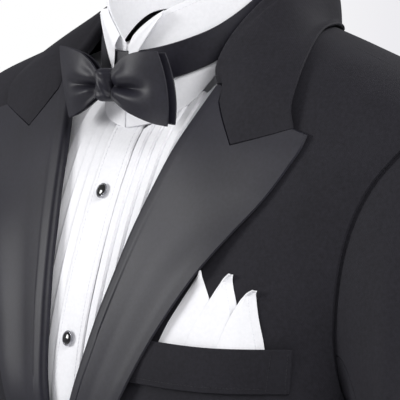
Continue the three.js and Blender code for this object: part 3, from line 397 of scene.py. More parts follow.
def shell_mesh(name, mid, normals, wall, closed):
    """A closed shell round a middle face, with its edges rounded over."""
    rows, columns = mid.shape[:2]
    half = wall / 2
    outer, inner = mid + normals * half, mid - normals * half
    count = rows * columns
    index = np.arange(count).reshape(rows, columns)
    if closed:
        loops = [[(r, c) for c in range(columns)] for r in (0, rows - 1)]
    else:
        loops = [perimeter(rows, columns)]
    points = [outer.reshape(-1, 3), inner.reshape(-1, 3)]
    wrap = np.concatenate([index, index[:, :1]], 1) if closed else index
    quads = np.stack([wrap[:-1, :-1], wrap[1:, :-1], wrap[1:, 1:], wrap[:-1, 1:]], -1).reshape(-1, 4)
    if closed:
        across, along, towards = outer[1, 0] - outer[0, 0], outer[0, 1] - outer[0, 0], normals[0, 0]
    else:
        across, along = outer[1:, :-1] - outer[:-1, :-1], outer[:-1, 1:] - outer[:-1, :-1]
        towards = normals[:-1, :-1]
    flipped = (np.cross(across, along) * towards).sum() < 0
    faces = [quads[:, ::-1] if flipped else quads, (quads if flipped else quads[:, ::-1]) + count]
    lip = half * EDGE_ROUND
    at = 2 * count
    for n_loop, loop in enumerate(loops):
        r = np.array([a for a, _ in loop])
        c = np.array([b for _, b in loop])
        inward = np.zeros((len(loop), 3))
        inward += np.where((r == 0)[:, None], mid[np.minimum(r + 1, rows - 1), c] - mid[r, c], 0)
        inward += np.where((r == rows - 1)[:, None], mid[np.maximum(r - 1, 0), c] - mid[r, c], 0)
        if not closed:
            inward = unit(inward) * (np.linalg.norm(inward, axis=1, keepdims=True) > 0)
            side = np.where((c == 0)[:, None], mid[r, np.minimum(c + 1, columns - 1)] - mid[r, c], 0)
            side = side + np.where((c == columns - 1)[:, None], mid[r, np.maximum(c - 1, 0)] - mid[r, c], 0)
            inward += unit(side) * (np.linalg.norm(side, axis=1, keepdims=True) > 0)
        points.append(mid[r, c] - unit(inward) * lip)
        rim = at + np.arange(len(loop))
        at += len(loop)
        o = index[r, c]
        turn = closed and n_loop == 1
        for first, second in ((o, rim), (rim, o + count)):
            band = np.stack([first, np.roll(first, -1), np.roll(second, -1), second], -1)
            faces.append(band[:, ::-1] if flipped != turn else band)
    mesh = bpy.data.meshes.new(name)
    every = np.concatenate(faces)
    mesh.from_pydata((np.concatenate(points) * MM).tolist(), [], every.tolist())
    mesh.update()
    return mesh


def placed(name, mesh, fabric, nodes=()):
    material, slot = fabric
    mesh.materials.append(material)
    for polygon in mesh.polygons:
        polygon.use_smooth = True
    mesh.set_sharp_from_angle(angle=SMOOTH_TURN)
    piece = bpy.data.objects.new(name, mesh)
    bpy.context.scene.collection.objects.link(piece)
    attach(piece, "root")
    if nodes:
        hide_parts(*nodes)
    return piece


def cloth(
    node, mid, wall, fabric, group=None, waver=(90, 0.35), closed=False,
    axis=(0, 0, -300), name=None, replaces=True, flat=None,
):
    """One sewn piece: its middle face creased and made into a shell; its flat cut's width, length and area
    are worked out but not kept.
    """
    normals = grid_normals(mid, closed, axis)
    push = wavered(mid, waver[0], waver[1], len(node)) + (creased(group, mid) if group else 0)
    mid = mid + normals * push[..., None]
    normals = grid_normals(mid, closed, axis)
    mesh = shell_mesh(node, mid, normals, wall, closed)
    piece = placed((name or node) + "_cloth", mesh, fabric, [node] if replaces else [])
    ring = np.concatenate([mid, mid[:, :1]], 1) if closed else mid
    widths = np.linalg.norm(np.diff(ring, axis=1), axis=-1).sum(1) * MM
    lengths = np.linalg.norm(np.diff(mid, axis=0), axis=-1).sum(0) * MM
    a, b = ring[:-1, :-1], ring[1:, 1:]
    area = 0.5 * np.linalg.norm(np.cross(b - a, ring[1:, :-1] - ring[:-1, 1:]), axis=-1).sum() * MM * MM
    width, length = flat or (round(max(side.max(), LEAST_CUT), 5) for side in (widths, lengths))
    area = round(min(area, width * length), 7)
    return piece, mid, normals


def stitches(name, path, normals, pitch, length, fabric, radius):
    """A row of separate stitches along a path, each a short six-sided thread with low ends."""
    path, normals = np.asarray(path, float), np.asarray(normals, float)
    run = np.concatenate([[0], np.cumsum(np.linalg.norm(np.diff(path, axis=0), axis=1))])
    starts = np.arange(pitch / 2, run[-1] - length, pitch)
    points, faces = [], []
    for s in starts:
        base = len(points)
        for k, (share, size) in enumerate(((0, 0.35), (0.2, 1), (0.8, 1), (1, 0.35))):
            at = s + share * length
            p = np.array([np.interp(at, run, path[:, i]) for i in range(3)])
            n = unit(np.array([np.interp(at, run, normals[:, i]) for i in range(3)]))
            ahead = np.array([np.interp(at + 0.2, run, path[:, i]) for i in range(3)]) - p
            side = unit(np.cross(n, ahead))
            for i in range(6):
                a = i * math.pi / 3
                points.append(p + (side * math.cos(a) + n * (math.sin(a) + 0.2)) * radius * size)
            if k:
                for i in range(6):
                    j = (i + 1) % 6
                    low, high = base + (k - 1) * 6, base + k * 6
                    faces.append((low + i, low + j, high + j, high + i))
        faces.append(tuple(base + i for i in range(5, -1, -1)))
        faces.append(tuple(base + 18 + i for i in range(6)))
    mesh = bpy.data.meshes.new(name)
    mesh.from_pydata((np.array(points) * MM).tolist(), [], faces)
    mesh.update()
    return placed(name, mesh, fabric)


def lathe_mesh(name, profile, segments, seat, direction):
    points, faces = [], []
    for r, h in profile:
        for i in range(segments):
            a = 2 * math.pi * i / segments
            points.append((r * math.cos(a), r * math.sin(a), h))
    for k in range(len(profile) - 1):
        for i in range(segments):
            j = (i + 1) % segments
            low, high = k * segments, (k + 1) * segments
            faces.append((low + i, low + j, high + j, high + i))
    faces.append(tuple(range(segments - 1, -1, -1)))
    faces.append(tuple((len(profile) - 1) * segments + i for i in range(segments)))
    turn = Vector((0, 0, 1)).rotation_difference(Vector(direction)).to_matrix()
    mesh = bpy.data.meshes.new(name)
    mesh.from_pydata([tuple((turn @ Vector(p) + Vector(seat)) * MM) for p in points], [], faces)
    mesh.update()
    return mesh


# Armholes and the limits of the body's panels
ARMHOLE = {"y": 3, "z": -158, "rise": 108, "front": 72, "back": 78}
SEAM_ARM_ANGLE = 125 * DEG
SIDE_TOP_Z = ARMHOLE["z"] + ARMHOLE["rise"] * math.cos(SEAM_ARM_ANGLE)
ARMHOLE_TOP_Z = ARMHOLE["z"] + ARMHOLE["rise"]


def armhole(angle, grow=0.0, out=0.0):
    reach = np.where(np.sin(angle) > 0, ARMHOLE["front"], ARMHOLE["back"]) + grow
    y = ARMHOLE["y"] - reach * np.sin(angle)
    return on_side(y, ARMHOLE["z"] + (ARMHOLE["rise"] + grow) * np.cos(angle), out)


def armhole_y(z, facing, grow=0.0):
    across = np.sqrt(np.maximum(1 - ((z - ARMHOLE["z"]) / (ARMHOLE["rise"] + grow)) ** 2, 0))
    reach = ARMHOLE["front"] + grow if facing > 0 else -ARMHOLE["back"] - grow
    return ARMHOLE["y"] - reach * across


FRONT_SEAM = float(angle_at_y(armhole_y(SIDE_TOP_Z, 1), SIDE_TOP_Z))
BACK_SEAM = float(angle_at_y(armhole_y(SIDE_TOP_Z, -1), SIDE_TOP_Z))
JACKET_CUT = {"front": FRONT_SEAM, "back": BACK_SEAM, "shoulder": 90 * DEG, "top": SIDE_TOP_Z, "grow": 0}


def front_limit(z, cut=JACKET_CUT):
    shoulder = angle_moved(cut["shoulder"], z, -SEAM / 2)
    arm = np.minimum(angle_at_y(armhole_y(z, 1, cut["grow"]), z), shoulder)
    low = angle_moved(cut["front"], z, -SEAM / 2)
    return np.where(z > ARMHOLE_TOP_Z, shoulder, np.where(z > cut["top"], arm, low))


def back_limit(z, cut=JACKET_CUT):
    shoulder = angle_moved(90 * DEG, z, SEAM / 2)
    arm = angle_at_y(np.maximum(armhole_y(z, -1, cut["grow"]), SEAM), z)
    low = angle_moved(cut["back"], z, SEAM / 2)
    return np.where(z > ARMHOLE_TOP_Z, shoulder, np.where(z > cut["top"], arm, low))


ROLL = table(
    ["z", "x"],
    [
        [-405, -20], [-360, -12], [-300, 3], [-241, 18.5], [-214, 26.5],
        [-166, 40], [-114, 54], [-79, 65.2], [-44.8, NECKLINE_X],
    ],
)
LAPEL_EDGE = table(
    ["z", "x"],
    [
        [-398, -14], [-300, 31], [-235, 63], [-193, 85.5], [-160, 106],
        [-130, 126.5], [-106, 144], [-88, 153.5], [-78, 158], [-69.4, 159.5],
    ],
)
RIGHT_SHIFT = table(
    ["z", "x"],
    [[-300, 0], [-240, 4], [-200, 9], [-115, 12], [-75, 11], [-44.8, 6], [0, 0]],
)
FRONT_EDGE = table(
    ["z", "x"],
    [
        [-745, 118], [-741, 96], [-730, 74], [-708, 52], [-670, 28],
        [-620, 8], [-560, -8], [-480, -18], [-405, -20],
    ],
)
ROLL_TOP_Z = -44.8
LAPEL_FOOT_Z = -398
LAP = {"left": 2.2, "right": -3.9, "closed": -290, "open": -235, "near": 30, "far": 66}


def shift_for(side, z):
    return 0 * np.asarray(z, float) if side > 0 else read(RIGHT_SHIFT, "x", z)


def roll_x(side, z):
    return read(ROLL, "x", z) - shift_for(side, z)


def lapel_edge_x(side, z):
    return read(LAPEL_EDGE, "x", z) - shift_for(side, z)


def lap_out(side, x, z):
    amount = LAP["left"] if side > 0 else LAP["right"]
    return amount * (1 - ease(x, LAP["near"], LAP["far"])) * (1 - ease(z, LAP["closed"], LAP["open"]))


def front_edge_x(side, z):
    low = read(FRONT_EDGE, "x", z)
    return np.where(z < BUTTON_Z, low, np.where(z > ROLL_TOP_Z, NECKLINE_X, roll_x(side, z)))


# Jacket body
PANEL_START = 1.7
JACKET_ROWS = [
    -0.6, -12, -26, ROLL_TOP_Z, -50.5, -54, -62, -75, -92, -112, -135, -160, -190, SIDE_TOP_Z, -255, -292,
    -335, -380, -425, -480, -540, -600, -655, -700, -728, HEM_Z,
]
CENTRE_BACK = table(["z", "in"], [[-745, 0], [-560, 1], [-425, 5], [-300, 3], [-150, 0]])
SIDE_SAG = table(
    ["z", "share"],
    [[-425, 0], [-380, 0.08], [-335, 0.25], [-292, 0.5], [-255, 0.75], [-219, 1]],
)


def jacket_front_face(side, z, share, out):
    start = angle_at_x(front_edge_x(side, z) + PANEL_START, z)
    angle = mix(start, front_limit(z), share)
    p = on_body(angle, z)
    return sided(moved_out(p, out + lap_out(side, p[..., 0], z)), side)


def jacket_back_face(side, z, share, out):
    angle = mix(angle_moved(math.pi, z, -SEAM / 2), back_limit(z), share)
    hollow = read(CENTRE_BACK, "in", z) * (1 - ease(share, 0, 0.5))
    return sided(on_body(angle, z, out - hollow), side)


def jacket_side_face(side, z, share, out):
    arc = mix(SEAM_ARM_ANGLE, 2 * math.pi - SEAM_ARM_ANGLE, share)
    sag = ARMHOLE["z"] + ARMHOLE["rise"] * np.cos(arc) - SIDE_TOP_Z
    low = z + sag * np.interp(z, SIDE_SAG["z"], SIDE_SAG["share"])
    even = mix(angle_moved(FRONT_SEAM, low, SEAM / 2), angle_moved(BACK_SEAM, low, -SEAM / 2), share)
    under_arm = angle_at_y(armhole(arc)[..., 1], low)
    top = ease(z, SIDE_TOP_Z - 18, SIDE_TOP_Z)
    return sided(on_body(mix(even, under_arm, 0.5 * top), low, out), side)


def jacket_body():
    rows = finer(JACKET_ROWS, 5)[:, None]
    under = rows[rows[:, 0] <= SIDE_TOP_Z + 1e-6]
    for word, side in SIDES:
        mid = jacket_front_face(side, rows, np.linspace(0, 1, 46)[None], -JACKET_WALL / 2)
        cloth(f"jacket_front_{word}", mid, JACKET_WALL, WOOL, "jacket")
        mid = jacket_side_face(side, under, np.linspace(0, 1, 26)[None], -JACKET_WALL / 2)
        cloth(f"jacket_side_{word}", mid, JACKET_WALL, WOOL, "jacket")
        mid = jacket_back_face(side, rows, np.linspace(0, 1, 44)[None], -JACKET_WALL / 2)
        cloth(f"jacket_back_{word}", mid, JACKET_WALL, WOOL, "jacket")


# Sleeves
ARM = table(
    ["z", "x", "y", "across", "deep", "tilt"],
    [
        [-690, 277, -44, 43, 48, 2],
        [-600, 273, -27, 46, 51, 2],
        [-520, 269, -14, 48, 54, 2],
        [-440, 264, -6, 51, 58, 4],
        [-360, 257, -3, 54, 63, 14],
        [-280, 249, -2, 56, 67, 30],
    ],
)
BICEP_Z = -280
CAP_SHARE = 0.42
SLEEVE_HEM_Z = -690
SLEEVE_SET = {"grow": -2.85, "out": -0.6}
SLEEVE_SEAM = 112 * DEG


def arm_ring(angle, z, inset=0.0):
    x, y, across, deep, tilt = (read(ARM, n, z) for n in ("x", "y", "across", "deep", "tilt"))
    x, y = x + (across - inset) * np.cos(angle), y - (deep - inset) * np.sin(angle)
    return vec(x, y, z + tilt * np.cos(angle))


def sleeve_face(angle, share):
    share, angle = np.broadcast_arrays(np.asarray(share, float), np.asarray(angle, float))
    low = arm_ring(angle, mix(BICEP_Z, SLEEVE_HEM_Z, np.maximum(share - CAP_SHARE, 0) / (1 - CAP_SHARE)))
    height = (1 + np.cos(angle)) / 2
    t = np.minimum(share / CAP_SHARE, 1)[..., None]
    start = armhole(angle, SLEEVE_SET["grow"], SLEEVE_SET["out"])
    end = arm_ring(angle, BICEP_Z + 0 * angle)
    leave = unit(vec(mix(0.95, 1, height), -0.12 * np.sin(angle), mix(-0.3, 0.16, height)))
    leave = leave * mix(24, 105, height)[..., None]
    arrive = vec(0, 0, -mix(34, 150, height))
    cap = start * (1 + 2 * t) * (1 - t) ** 2 + leave * t * (1 - t) ** 2
    cap = cap + end * t * t * (3 - 2 * t) - arrive * t * t * (1 - t)
    return np.where((share >= CAP_SHARE)[..., None], low, cap)


# Seam allowance of a sleeve's head, turned in under the armhole's edge
SLEEVE_TUCK = table(["grow", "out"], [[3.5, -4.1], [1.0, -4.0], [-1.0, -3.3], [-2.3, -1.9]])


def sleeves():
    shares = finer([0, 0.05, 0.11, 0.19, 0.28, CAP_SHARE, 0.52, 0.63, 0.75, 0.88, 1], 9)[:, None]
    for word, side in SIDES:
        for part, start, end, count in (
            ("upper", -SLEEVE_SEAM, SLEEVE_SEAM, 72),
            ("under", SLEEVE_SEAM, 2 * math.pi - SLEEVE_SEAM, 44),
        ):
            angles = np.linspace(start + 0.004, end - 0.004, count)[None]
            tuck = [armhole(angles, g, o) for g, o in zip(SLEEVE_TUCK["grow"], SLEEVE_TUCK["out"])]
            mid = sided(np.concatenate([*tuck, sleeve_face(angles, shares)]), side)
            node = f"sleeve_{part}_{word}"
            axis = (side * 235, -10, -450)
            cloth(node, mid, JACKET_WALL, WOOL, "sleeve", axis=axis)


# Lapels
ROLL_PATH = table(["across", "out"], [[0.9, -1.25], [-1, -0.8], [-1.9, 1.2], [-0.8, 3.3], [4, 4.2]])
ROLL_FLAT = table(["across", "out"], [[0.9, -1.25], [-0.5, -0.8], [-0.9, 0.2], [-0.3, 1.3], [3, 2]])
ROLL_CLOSING = {"from": -230, "to": -300}
LAPEL_OUT = 1.95
GORGE = table(["share", "z"], [[0, ROLL_TOP_Z], [0.454, -79], [0.874, -66.5], [1, -69.4]])
LEAF_SHARE = 0.874
LAPEL_SHARES = [0.13, 0.28, 0.454, 0.62, 0.76, LEAF_SHARE, 1]
LAPEL_ROWS = [-92, -112, -135, -160, -190, SIDE_TOP_Z, -255, -292, -335, -372, LAPEL_FOOT_Z]
ROLL_KNOTS = [0, 0.6, 1.2, 1.8, 3]


def lapel_out(z, share):
    closing = ease(z, ROLL_CLOSING["from"], ROLL_CLOSING["to"])
    proud = mix(mix(4.2, 2, closing), LAPEL_OUT, ease(share, 0, 0.75))
    over = 3.7 * ease(z, -108, -160) * (1 - ease(z, -222, -292)) * ease(share, 0.35, 0.9)
    return proud + over


def lapel_point(side, z, share):
    x = mix(roll_x(side, z), lapel_edge_x(side, z), share)
    return on_front(x, z, lapel_out(z, share) + lap_out(side, x, z))


def lapel_roll_point(side, z, i):
    closing = ease(z, ROLL_CLOSING["from"], ROLL_CLOSING["to"])
    across = mix(ROLL_PATH["across"][i], ROLL_FLAT["across"][i], closing)
    x = roll_x(side, z) + across
    return on_front(x, z, mix(ROLL_PATH["out"][i], ROLL_FLAT["out"][i], closing) + lap_out(side, x, z))


def lapel_mid(side):
    rows = np.arange(len(LAPEL_ROWS) + 2)
    fine = finer(list(rows), 10)[:, None]
    roll_z = np.interp(fine, rows, [ROLL_TOP_Z, mix(ROLL_TOP_Z, LAPEL_ROWS[0], 0.5), *LAPEL_ROWS])
    roll = [lapel_roll_point(side, roll_z[:, 0], i) for i in range(5)]
    shares = finer([LAPEL_SHARES[0], 0.28, 0.454, 0.62, LEAF_SHARE, 1], 7)[None]
    top = np.interp(shares, GORGE["share"], GORGE["z"])
    low = np.interp(fine, rows, [0, 0, *LAPEL_ROWS])
    upper = np.clip(fine / 2, 0, 1)
    z = np.where(fine < 2, mix(top, LAPEL_ROWS[0], upper), low)
    face = lapel_point(side, z, shares + 0 * z)
    knots = [*ROLL_KNOTS, 3 + 26 * LAPEL_SHARES[0]]
    turn = smooth_columns(np.stack([*roll, face[:, 0]], 1), knots, finer(knots, 4))
    return sided(np.concatenate([turn[:, :-1], face], 1), side)


def lapels():
    for word, side in SIDES:
        node = f"lapel_{word}"
        cloth(node, lapel_mid(side), LAPEL_WALL, SATIN, waver=(70, 0.35))


# Collar
FOLD = table(
    ["along", "x", "y", "z"],
    [
        [0, 77, -67.6, -44.8], [0.22, 69, -47, -17], [0.46, 71, -11, 16],
        [0.66, 64, 28, 33], [0.83, 40, 51, 41], [1, 0, 60, 43],
    ],
)
LEAF_EDGE = table(
    ["along", "x", "y", "z"],
    [
        [0, 148, -70, -66], [0.1, 141, -61, -50], [0.22, 130, -43, -29], [0.34, 114, -18, -13],
        [0.5, 90, 15, -10], [0.68, 68, 45, -11], [0.84, 39, 64, -13], [1, 0, 70, -14],
    ],
)
NECK_SEAM = table(
    ["along", "angle", "z"],
    [[0.28, 42, -12], [0.4, 60, -4], [0.54, 92, 0], [0.75, 135, 0], [1, 180, 0]],
)
GORGE_GAP = {"roll": 1.7, "edge": 0.5}
LEAF_CORNER = GORGE["share"][1] / LEAF_SHARE
LEAF_SHARES = [*np.linspace(0.16, LEAF_CORNER, 10)[:-1], *np.linspace(LEAF_CORNER, 1, 14)]
COLLAR_STEPS = [0.08, 0.17, 0.28, 0.4, 0.54, 0.7, 0.85, 1]
STAND_WALL = 2
STAND_TOP = {"under": 1.25, "below": 2.45}
STAND_START = 0.34
LEAF_BOW = {"fold": 4.2, "edge": 1, "middle": 3, "clear": 0.4}


def along(data, t):
    return vec(*[read(data, n, t) for n in ("x", "y", "z")])


def fold_frame(t):
    fold = along(FOLD, t)
    across = unit(along(LEAF_EDGE, t) - fold)
    tangent = along(FOLD, min(t + 0.02, 1)) - along(FOLD, max(t - 0.02, 0))
    if t > 0.98:
        tangent = np.array([-1.0, 0, 0])
    return fold, across, -unit(np.cross(tangent, across))


def leaf_row(side, t):
    if t == 0:
        row = [lapel_roll_point(side, ROLL_TOP_Z + GORGE_GAP["roll"], i) for i in range(5)]
        for share in LEAF_SHARES:
            gap = mix(GORGE_GAP["roll"], GORGE_GAP["edge"], share)
            z = float(np.interp(share * LEAF_SHARE, GORGE["share"], GORGE["z"])) + gap
            row.append(lapel_point(side, z, share * LEAF_SHARE))
        return sided(np.array(row), side)
    fold, across, out = fold_frame(t)
    edge = along(LEAF_EDGE, t)
    fold[0] -= float(shift_for(side, fold[2])) * (1 - t) / 2
    row = [fold + across * a + out * o for a, o in zip(ROLL_PATH["across"], ROLL_PATH["out"])]
    for share in LEAF_SHARES:
        bow = mix(LEAF_BOW["fold"], LEAF_BOW["edge"], share) + LEAF_BOW["middle"] * math.sin(math.pi * share)
        row.append(cleared(mix(fold, edge, share) + out * bow, LAPEL_OUT + LEAF_BOW["clear"]))
    return sided(np.array(row), side)


def collar():
    left = [leaf_row(1, t) for t in [0, *COLLAR_STEPS]]
    right = [leaf_row(-1, t) for t in [0, *COLLAR_STEPS[:-1]]]
    knots = [0, *COLLAR_STEPS, *[2 - t for t in [0, *COLLAR_STEPS[:-1]][::-1]]]
    grid = smooth_rows(np.array([*left, *right[::-1]]), knots, finer(knots, 8))
    knots = [*ROLL_KNOTS, 3 + 26 * LEAF_SHARES[0]]
    turn = smooth_columns(grid[:, :6], knots, finer(knots, 4))
    grid = np.concatenate([turn[:, :-1], grid[:, 5:]], 1)
    uneven, axis = (60, 0.25), (0, 0, -120)
    cloth("jacket_collar", grid, LAPEL_WALL, WOOL, waver=uneven, axis=axis)

    def stand_row(side, t):
        fold, _, out = fold_frame(t)
        angle = float(read(NECK_SEAM, "angle", t)) * DEG
        seam = on_body(angle, read(NECK_SEAM, "z", t) + 0.6)
        seam = seam - np.array([math.sin(angle), -math.cos(angle), 0]) * STAND_WALL
        top = fold - out * STAND_TOP["under"]
        top = top + unit(seam - top) * STAND_TOP["below"]
        return sided(np.array([mix(top, seam, s) for s in (0, 0.5, 1)]), side)

    half = [STAND_START, *[t for t in COLLAR_STEPS if t > STAND_START]]
    grid = np.array([*[stand_row(1, t) for t in half], *[stand_row(-1, t) for t in half[:-1]][::-1]])
    knots = [*half, *[2 - t for t in half[:-1]][::-1]]
    grid = smooth_columns(smooth_rows(grid, knots, finer(knots, 8)), [0, 1, 2], finer([0, 1, 2], 6))
    cloth("collar_stand", grid, STAND_WALL, WOOL, waver=(60, 0.1))


# Chest welt, folded square and hip jets
WELT = {"outer": 169.5, "wall": 1.6, "tuck": 7}
WELT_TOP = table(["x", "z"], [[60, -198], [126, -197.8], [169.5, -194.3]])
WELT_LEVELS = table(["down", "out"], [[0, 3.3], [13, 3.3], [26, 1.8]])


def chest_welt():
    down = np.linspace(0, 26, 27)[:, None]
    share = np.linspace(0, 1, 60)[None]
    start = lapel_edge_x(1, -198 - down) - WELT["tuck"]
    x = mix(start, WELT["outer"] - 0.12 * down, share)
    z = read(WELT_TOP, "z", x) - down
    out = read(WELT_LEVELS, "out", down)
    mid = on_front(x, z, out + 0 * x)
    _, mid, normals = cloth("chest_welt", mid, WELT["wall"], WOOL, waver=(50, 0.15))
    raised = mid + normals * WELT["wall"] * 0.5
    for i, column in enumerate((58, 53)):
        path, out = raised[1:-1, column], normals[1:-1, column]
        stitches(f"welt_end_stitches_{i + 1}", path, out, 2.2, 1.6, DARK_THREAD, 0.16)
    stitches("welt_low_stitches", raised[23, 4:54], normals[23, 4:54], 2.4, 1.8, DARK_THREAD, 0.15)


# The square's peaks, from the back one: edges at each height, how far it is raised, and its hem's width
SQUARE_FOOT_Z = -208
PEAKS = {
    "back": (
        table(["z", "left", "right"], [
            [-208, 82, 130], [-190, 88.5, 125], [-172, 98, 119.8],
            [-161, 104.2, 113.4], [-155, 107.3, 110], [-152.6, 108.6, 109.2],
        ]),
        0.1, 0.0,
    ),
    "middle": (
        table(["z", "left", "right"], [
            [-208, 104, 142.5], [-190, 108.5, 140.6], [-170, 118.8, 136.8],
            [-160, 124.6, 133.2], [-155.5, 128.2, 131.9], [-153, 131, 131.8],
        ]),
        1.2, 4.6,
    ),
    "front": (
        table(["z", "left", "right"], [
            [-208, 124, 156.2], [-195, 128.5, 155], [-172.4, 137.8, 150.2],
            [-165.5, 142.2, 149], [-162.4, 145.6, 148.6], [-161, 148.2, 149],
        ]),
        2.3, 4.2,
    ),
}


def pocket_square():
    for i, (name, (edges, out, hem)) in enumerate(PEAKS.items()):
        z = finer(edges["z"], 8)[:, None]
        left, right = (read(edges, end, z) for end in ("left", "right"))
        width = np.maximum(right - left, 0.5)
        fold = np.clip(1 - hem / width, 0.25, 1.0)
        s = np.linspace(0, 1, 33)[None]
        share = np.where(s < 0.7, s / 0.7 * fold, fold + (s - 0.7) / 0.3 * (1 - fold)) if hem else s + 0 * z
        x = mix(left, right, share)
        t = (z - SQUARE_FOOT_Z) / (edges["z"][-1] - SQUARE_FOOT_Z)
        body = 1.5 * np.sin(math.pi * np.clip(share / fold, 0, 1)) * t
        past = np.clip((share - fold) / np.maximum(1 - fold, 0.01), 0, 1)
        turned_back = -2.1 * past**0.8 if hem else 0.0
        curl = 0.9 * t**6
        mid = on_front(x, z + 0 * s, np.maximum(out + body + turned_back * ease(t, 0, 0.4) + curl, 0.2))
        tall = edges["z"][-1] - SQUARE_FOOT_Z + 3
        _, mid, normals = cloth(
            "pocket_square", mid, 0.7, COTTON,
            waver=(24, 0.2), name=f"pocket_square_{name}", replaces=i == 0,
            flat=(round(float((right - left).max() + 4) * MM, 4), round(tall * MM, 4)),
        )
        if hem:
            line = mid[:-4, 23] + normals[:-4, 23] * 0.38
            stitches(f"square_hem_{name}", line, normals[:-4, 23], 1.7, 1.2, THREAD, 0.13)


JET = {"z": -520, "from": 24 * DEG, "to": 60 * DEG, "tall": 6, "slope": 4, "wall": 1.4, "out": 1.3}


def hip_jets():
    row = np.linspace(0, 1, 9)[:, None]
    share = np.linspace(0, 1, 70)[None]
    z = JET["z"] - row * JET["tall"] - JET["slope"] * share
    for word, side in SIDES:
        mid = sided(on_body(mix(JET["from"], JET["to"], share) + 0 * row, z, JET["out"]), side)
        cloth(f"hip_jet_{word}", mid, JET["wall"], SATIN, waver=(60, 0.1))


# Buttons and studs
def buttons():
    seat = on_front(0.0, float(BUTTON_Z), LAP["left"] + SEAM)
    normal = body_normal(seat)
    dome = [
        [0.1, 0], [8, 0], [9.6, 0.5], [10, 1.3], [9.7, 2.3], [8.6, 3.2], [6.2, 3.95], [3.2, 4.3], [0.1, 4.4],
    ]
    placed("front_button_covered", lathe_mesh("button", dome, 40, seat, normal), SATIN, ["front_button"])
    small = [[0.1, 0], [6, 0], [7.1, 0.5], [7.4, 1.2], [7.0, 2.0], [5.6, 2.65], [3, 2.95], [0.1, 3]]
    e = 0.004
    for word, side in SIDES:
        for i in range(3):
            share, angle = 0.9 + i * 0.034, -104 * DEG
            around = sleeve_face(angle + e, share) - sleeve_face(angle - e, share)
            down = sleeve_face(angle, min(share + e, 1)) - sleeve_face(angle, share - e)
            n = unit(np.cross(around, down))
            at = sleeve_face(angle, share) + n * (JACKET_WALL / 2 + 0.4)
            name = f"cuff_button_{word}_{i + 1}"
            mesh = lathe_mesh(name, small, 32, sided(at, side), sided(n, side))
            placed(name + "_covered", mesh, SATIN, [name])


# Shirt
SHIRT_OUT = {"chest": -4.6, "neck": -8, "closed": -7.1, "waist": -4}
NECK = {"y": -12, "half": 63, "front": 64, "back": 59}
NECK_MIDDLE = (0, NECK["y"], -20)
BAND = {"tall": 21, "wall": 1.6, "clear": 1.9, "front": -35, "tilt": 38, "lift": 10}
STAND_RISE = table(
    ["angle", "rise"],
    [[0, 14], [11, 24.5], [24, 32], [40, 35], [90, 29], [135, 22], [180, 18]],
)
YOKE = {"top": 6, "foot": -49.4, "from": 79 * DEG}
PLACKET_TOP_Z = -74
STUD_ROWS = [STUD_Z - i * STUD_PITCH for i in range(STUDS)]
SHIRT_CUT = {
    "front": 88 * DEG,
    "back": 88 * DEG,
    "shoulder": YOKE["from"],
    "grow": -3.5,
    "top": ARMHOLE["z"] - ARMHOLE["rise"] + 3.5,
}
SHIRT_ROWS = [
    -8, -20, -32, -42, -51.6, -62, PLACKET_TOP_Z, -90, STUD_ROWS[0], -145, -180, STUD_ROWS[1], -228, -248,
    -260, SHIRT_CUT["top"], STUD_ROWS[2], -345, STUD_ROWS[3], -470, -560,
]
BIB = {"under": 2.3, "inner": 1.35, "foot": -345, "placket": -470}


def shirt_out(z):
    upper = SHIRT_OUT["chest"] + SHIRT_OUT["neck"] * ease(z, -85, -30)
    return upper + SHIRT_OUT["closed"] * ease(z, -235, -292) + SHIRT_OUT["waist"] * ease(z, -340, -392)


def shirt_neck_x(z):
    """Where a row of the shirt's front meets the collar band, or 0 below it."""
    def gap(x):
        neck_y = NECK["y"] - NECK["front"] * np.sqrt(1 - (x / NECK["half"]) ** 2)
        return on_front(x, z, shirt_out(z))[..., 1] - neck_y

    z = np.asarray(z, float)
    low, high = np.zeros_like(z), np.full_like(z, NECK["half"] - 0.5)
    below = gap(low) < 0
    for _ in range(20):
        middle = (low + high) / 2
        inside = gap(middle) > 0
        low, high = np.where(inside, middle, low), np.where(inside, high, middle)
    return np.where(below, 0, low)


def round_neck(angle, z, out=0.0):
    c = np.cos(angle)
    depth = np.where(c > 0, NECK["front"], NECK["back"]) + out
    return vec((NECK["half"] + out) * np.sin(angle), NECK["y"] - depth * c, z)


def from_front(angle):
    turn = np.abs(angle / DEG) % 360
    return np.minimum(turn, 360 - turn)


def band_z(angle):
    lift = BAND["lift"] * ease(from_front(angle), 50, 105)
    return BAND["front"] + BAND["tilt"] * (1 - np.cos(angle)) + lift


def stand_top_z(angle):
    return band_z(angle) + read(STAND_RISE, "rise", from_front(angle))


STAND_LOW = table(
    ["angle", "z"],
    [[0, -73], [29, -64.8], [45, -53], [59, -34], [68, -23], [79, -12], [90, -3], [120, 4], [180, 7]],
)


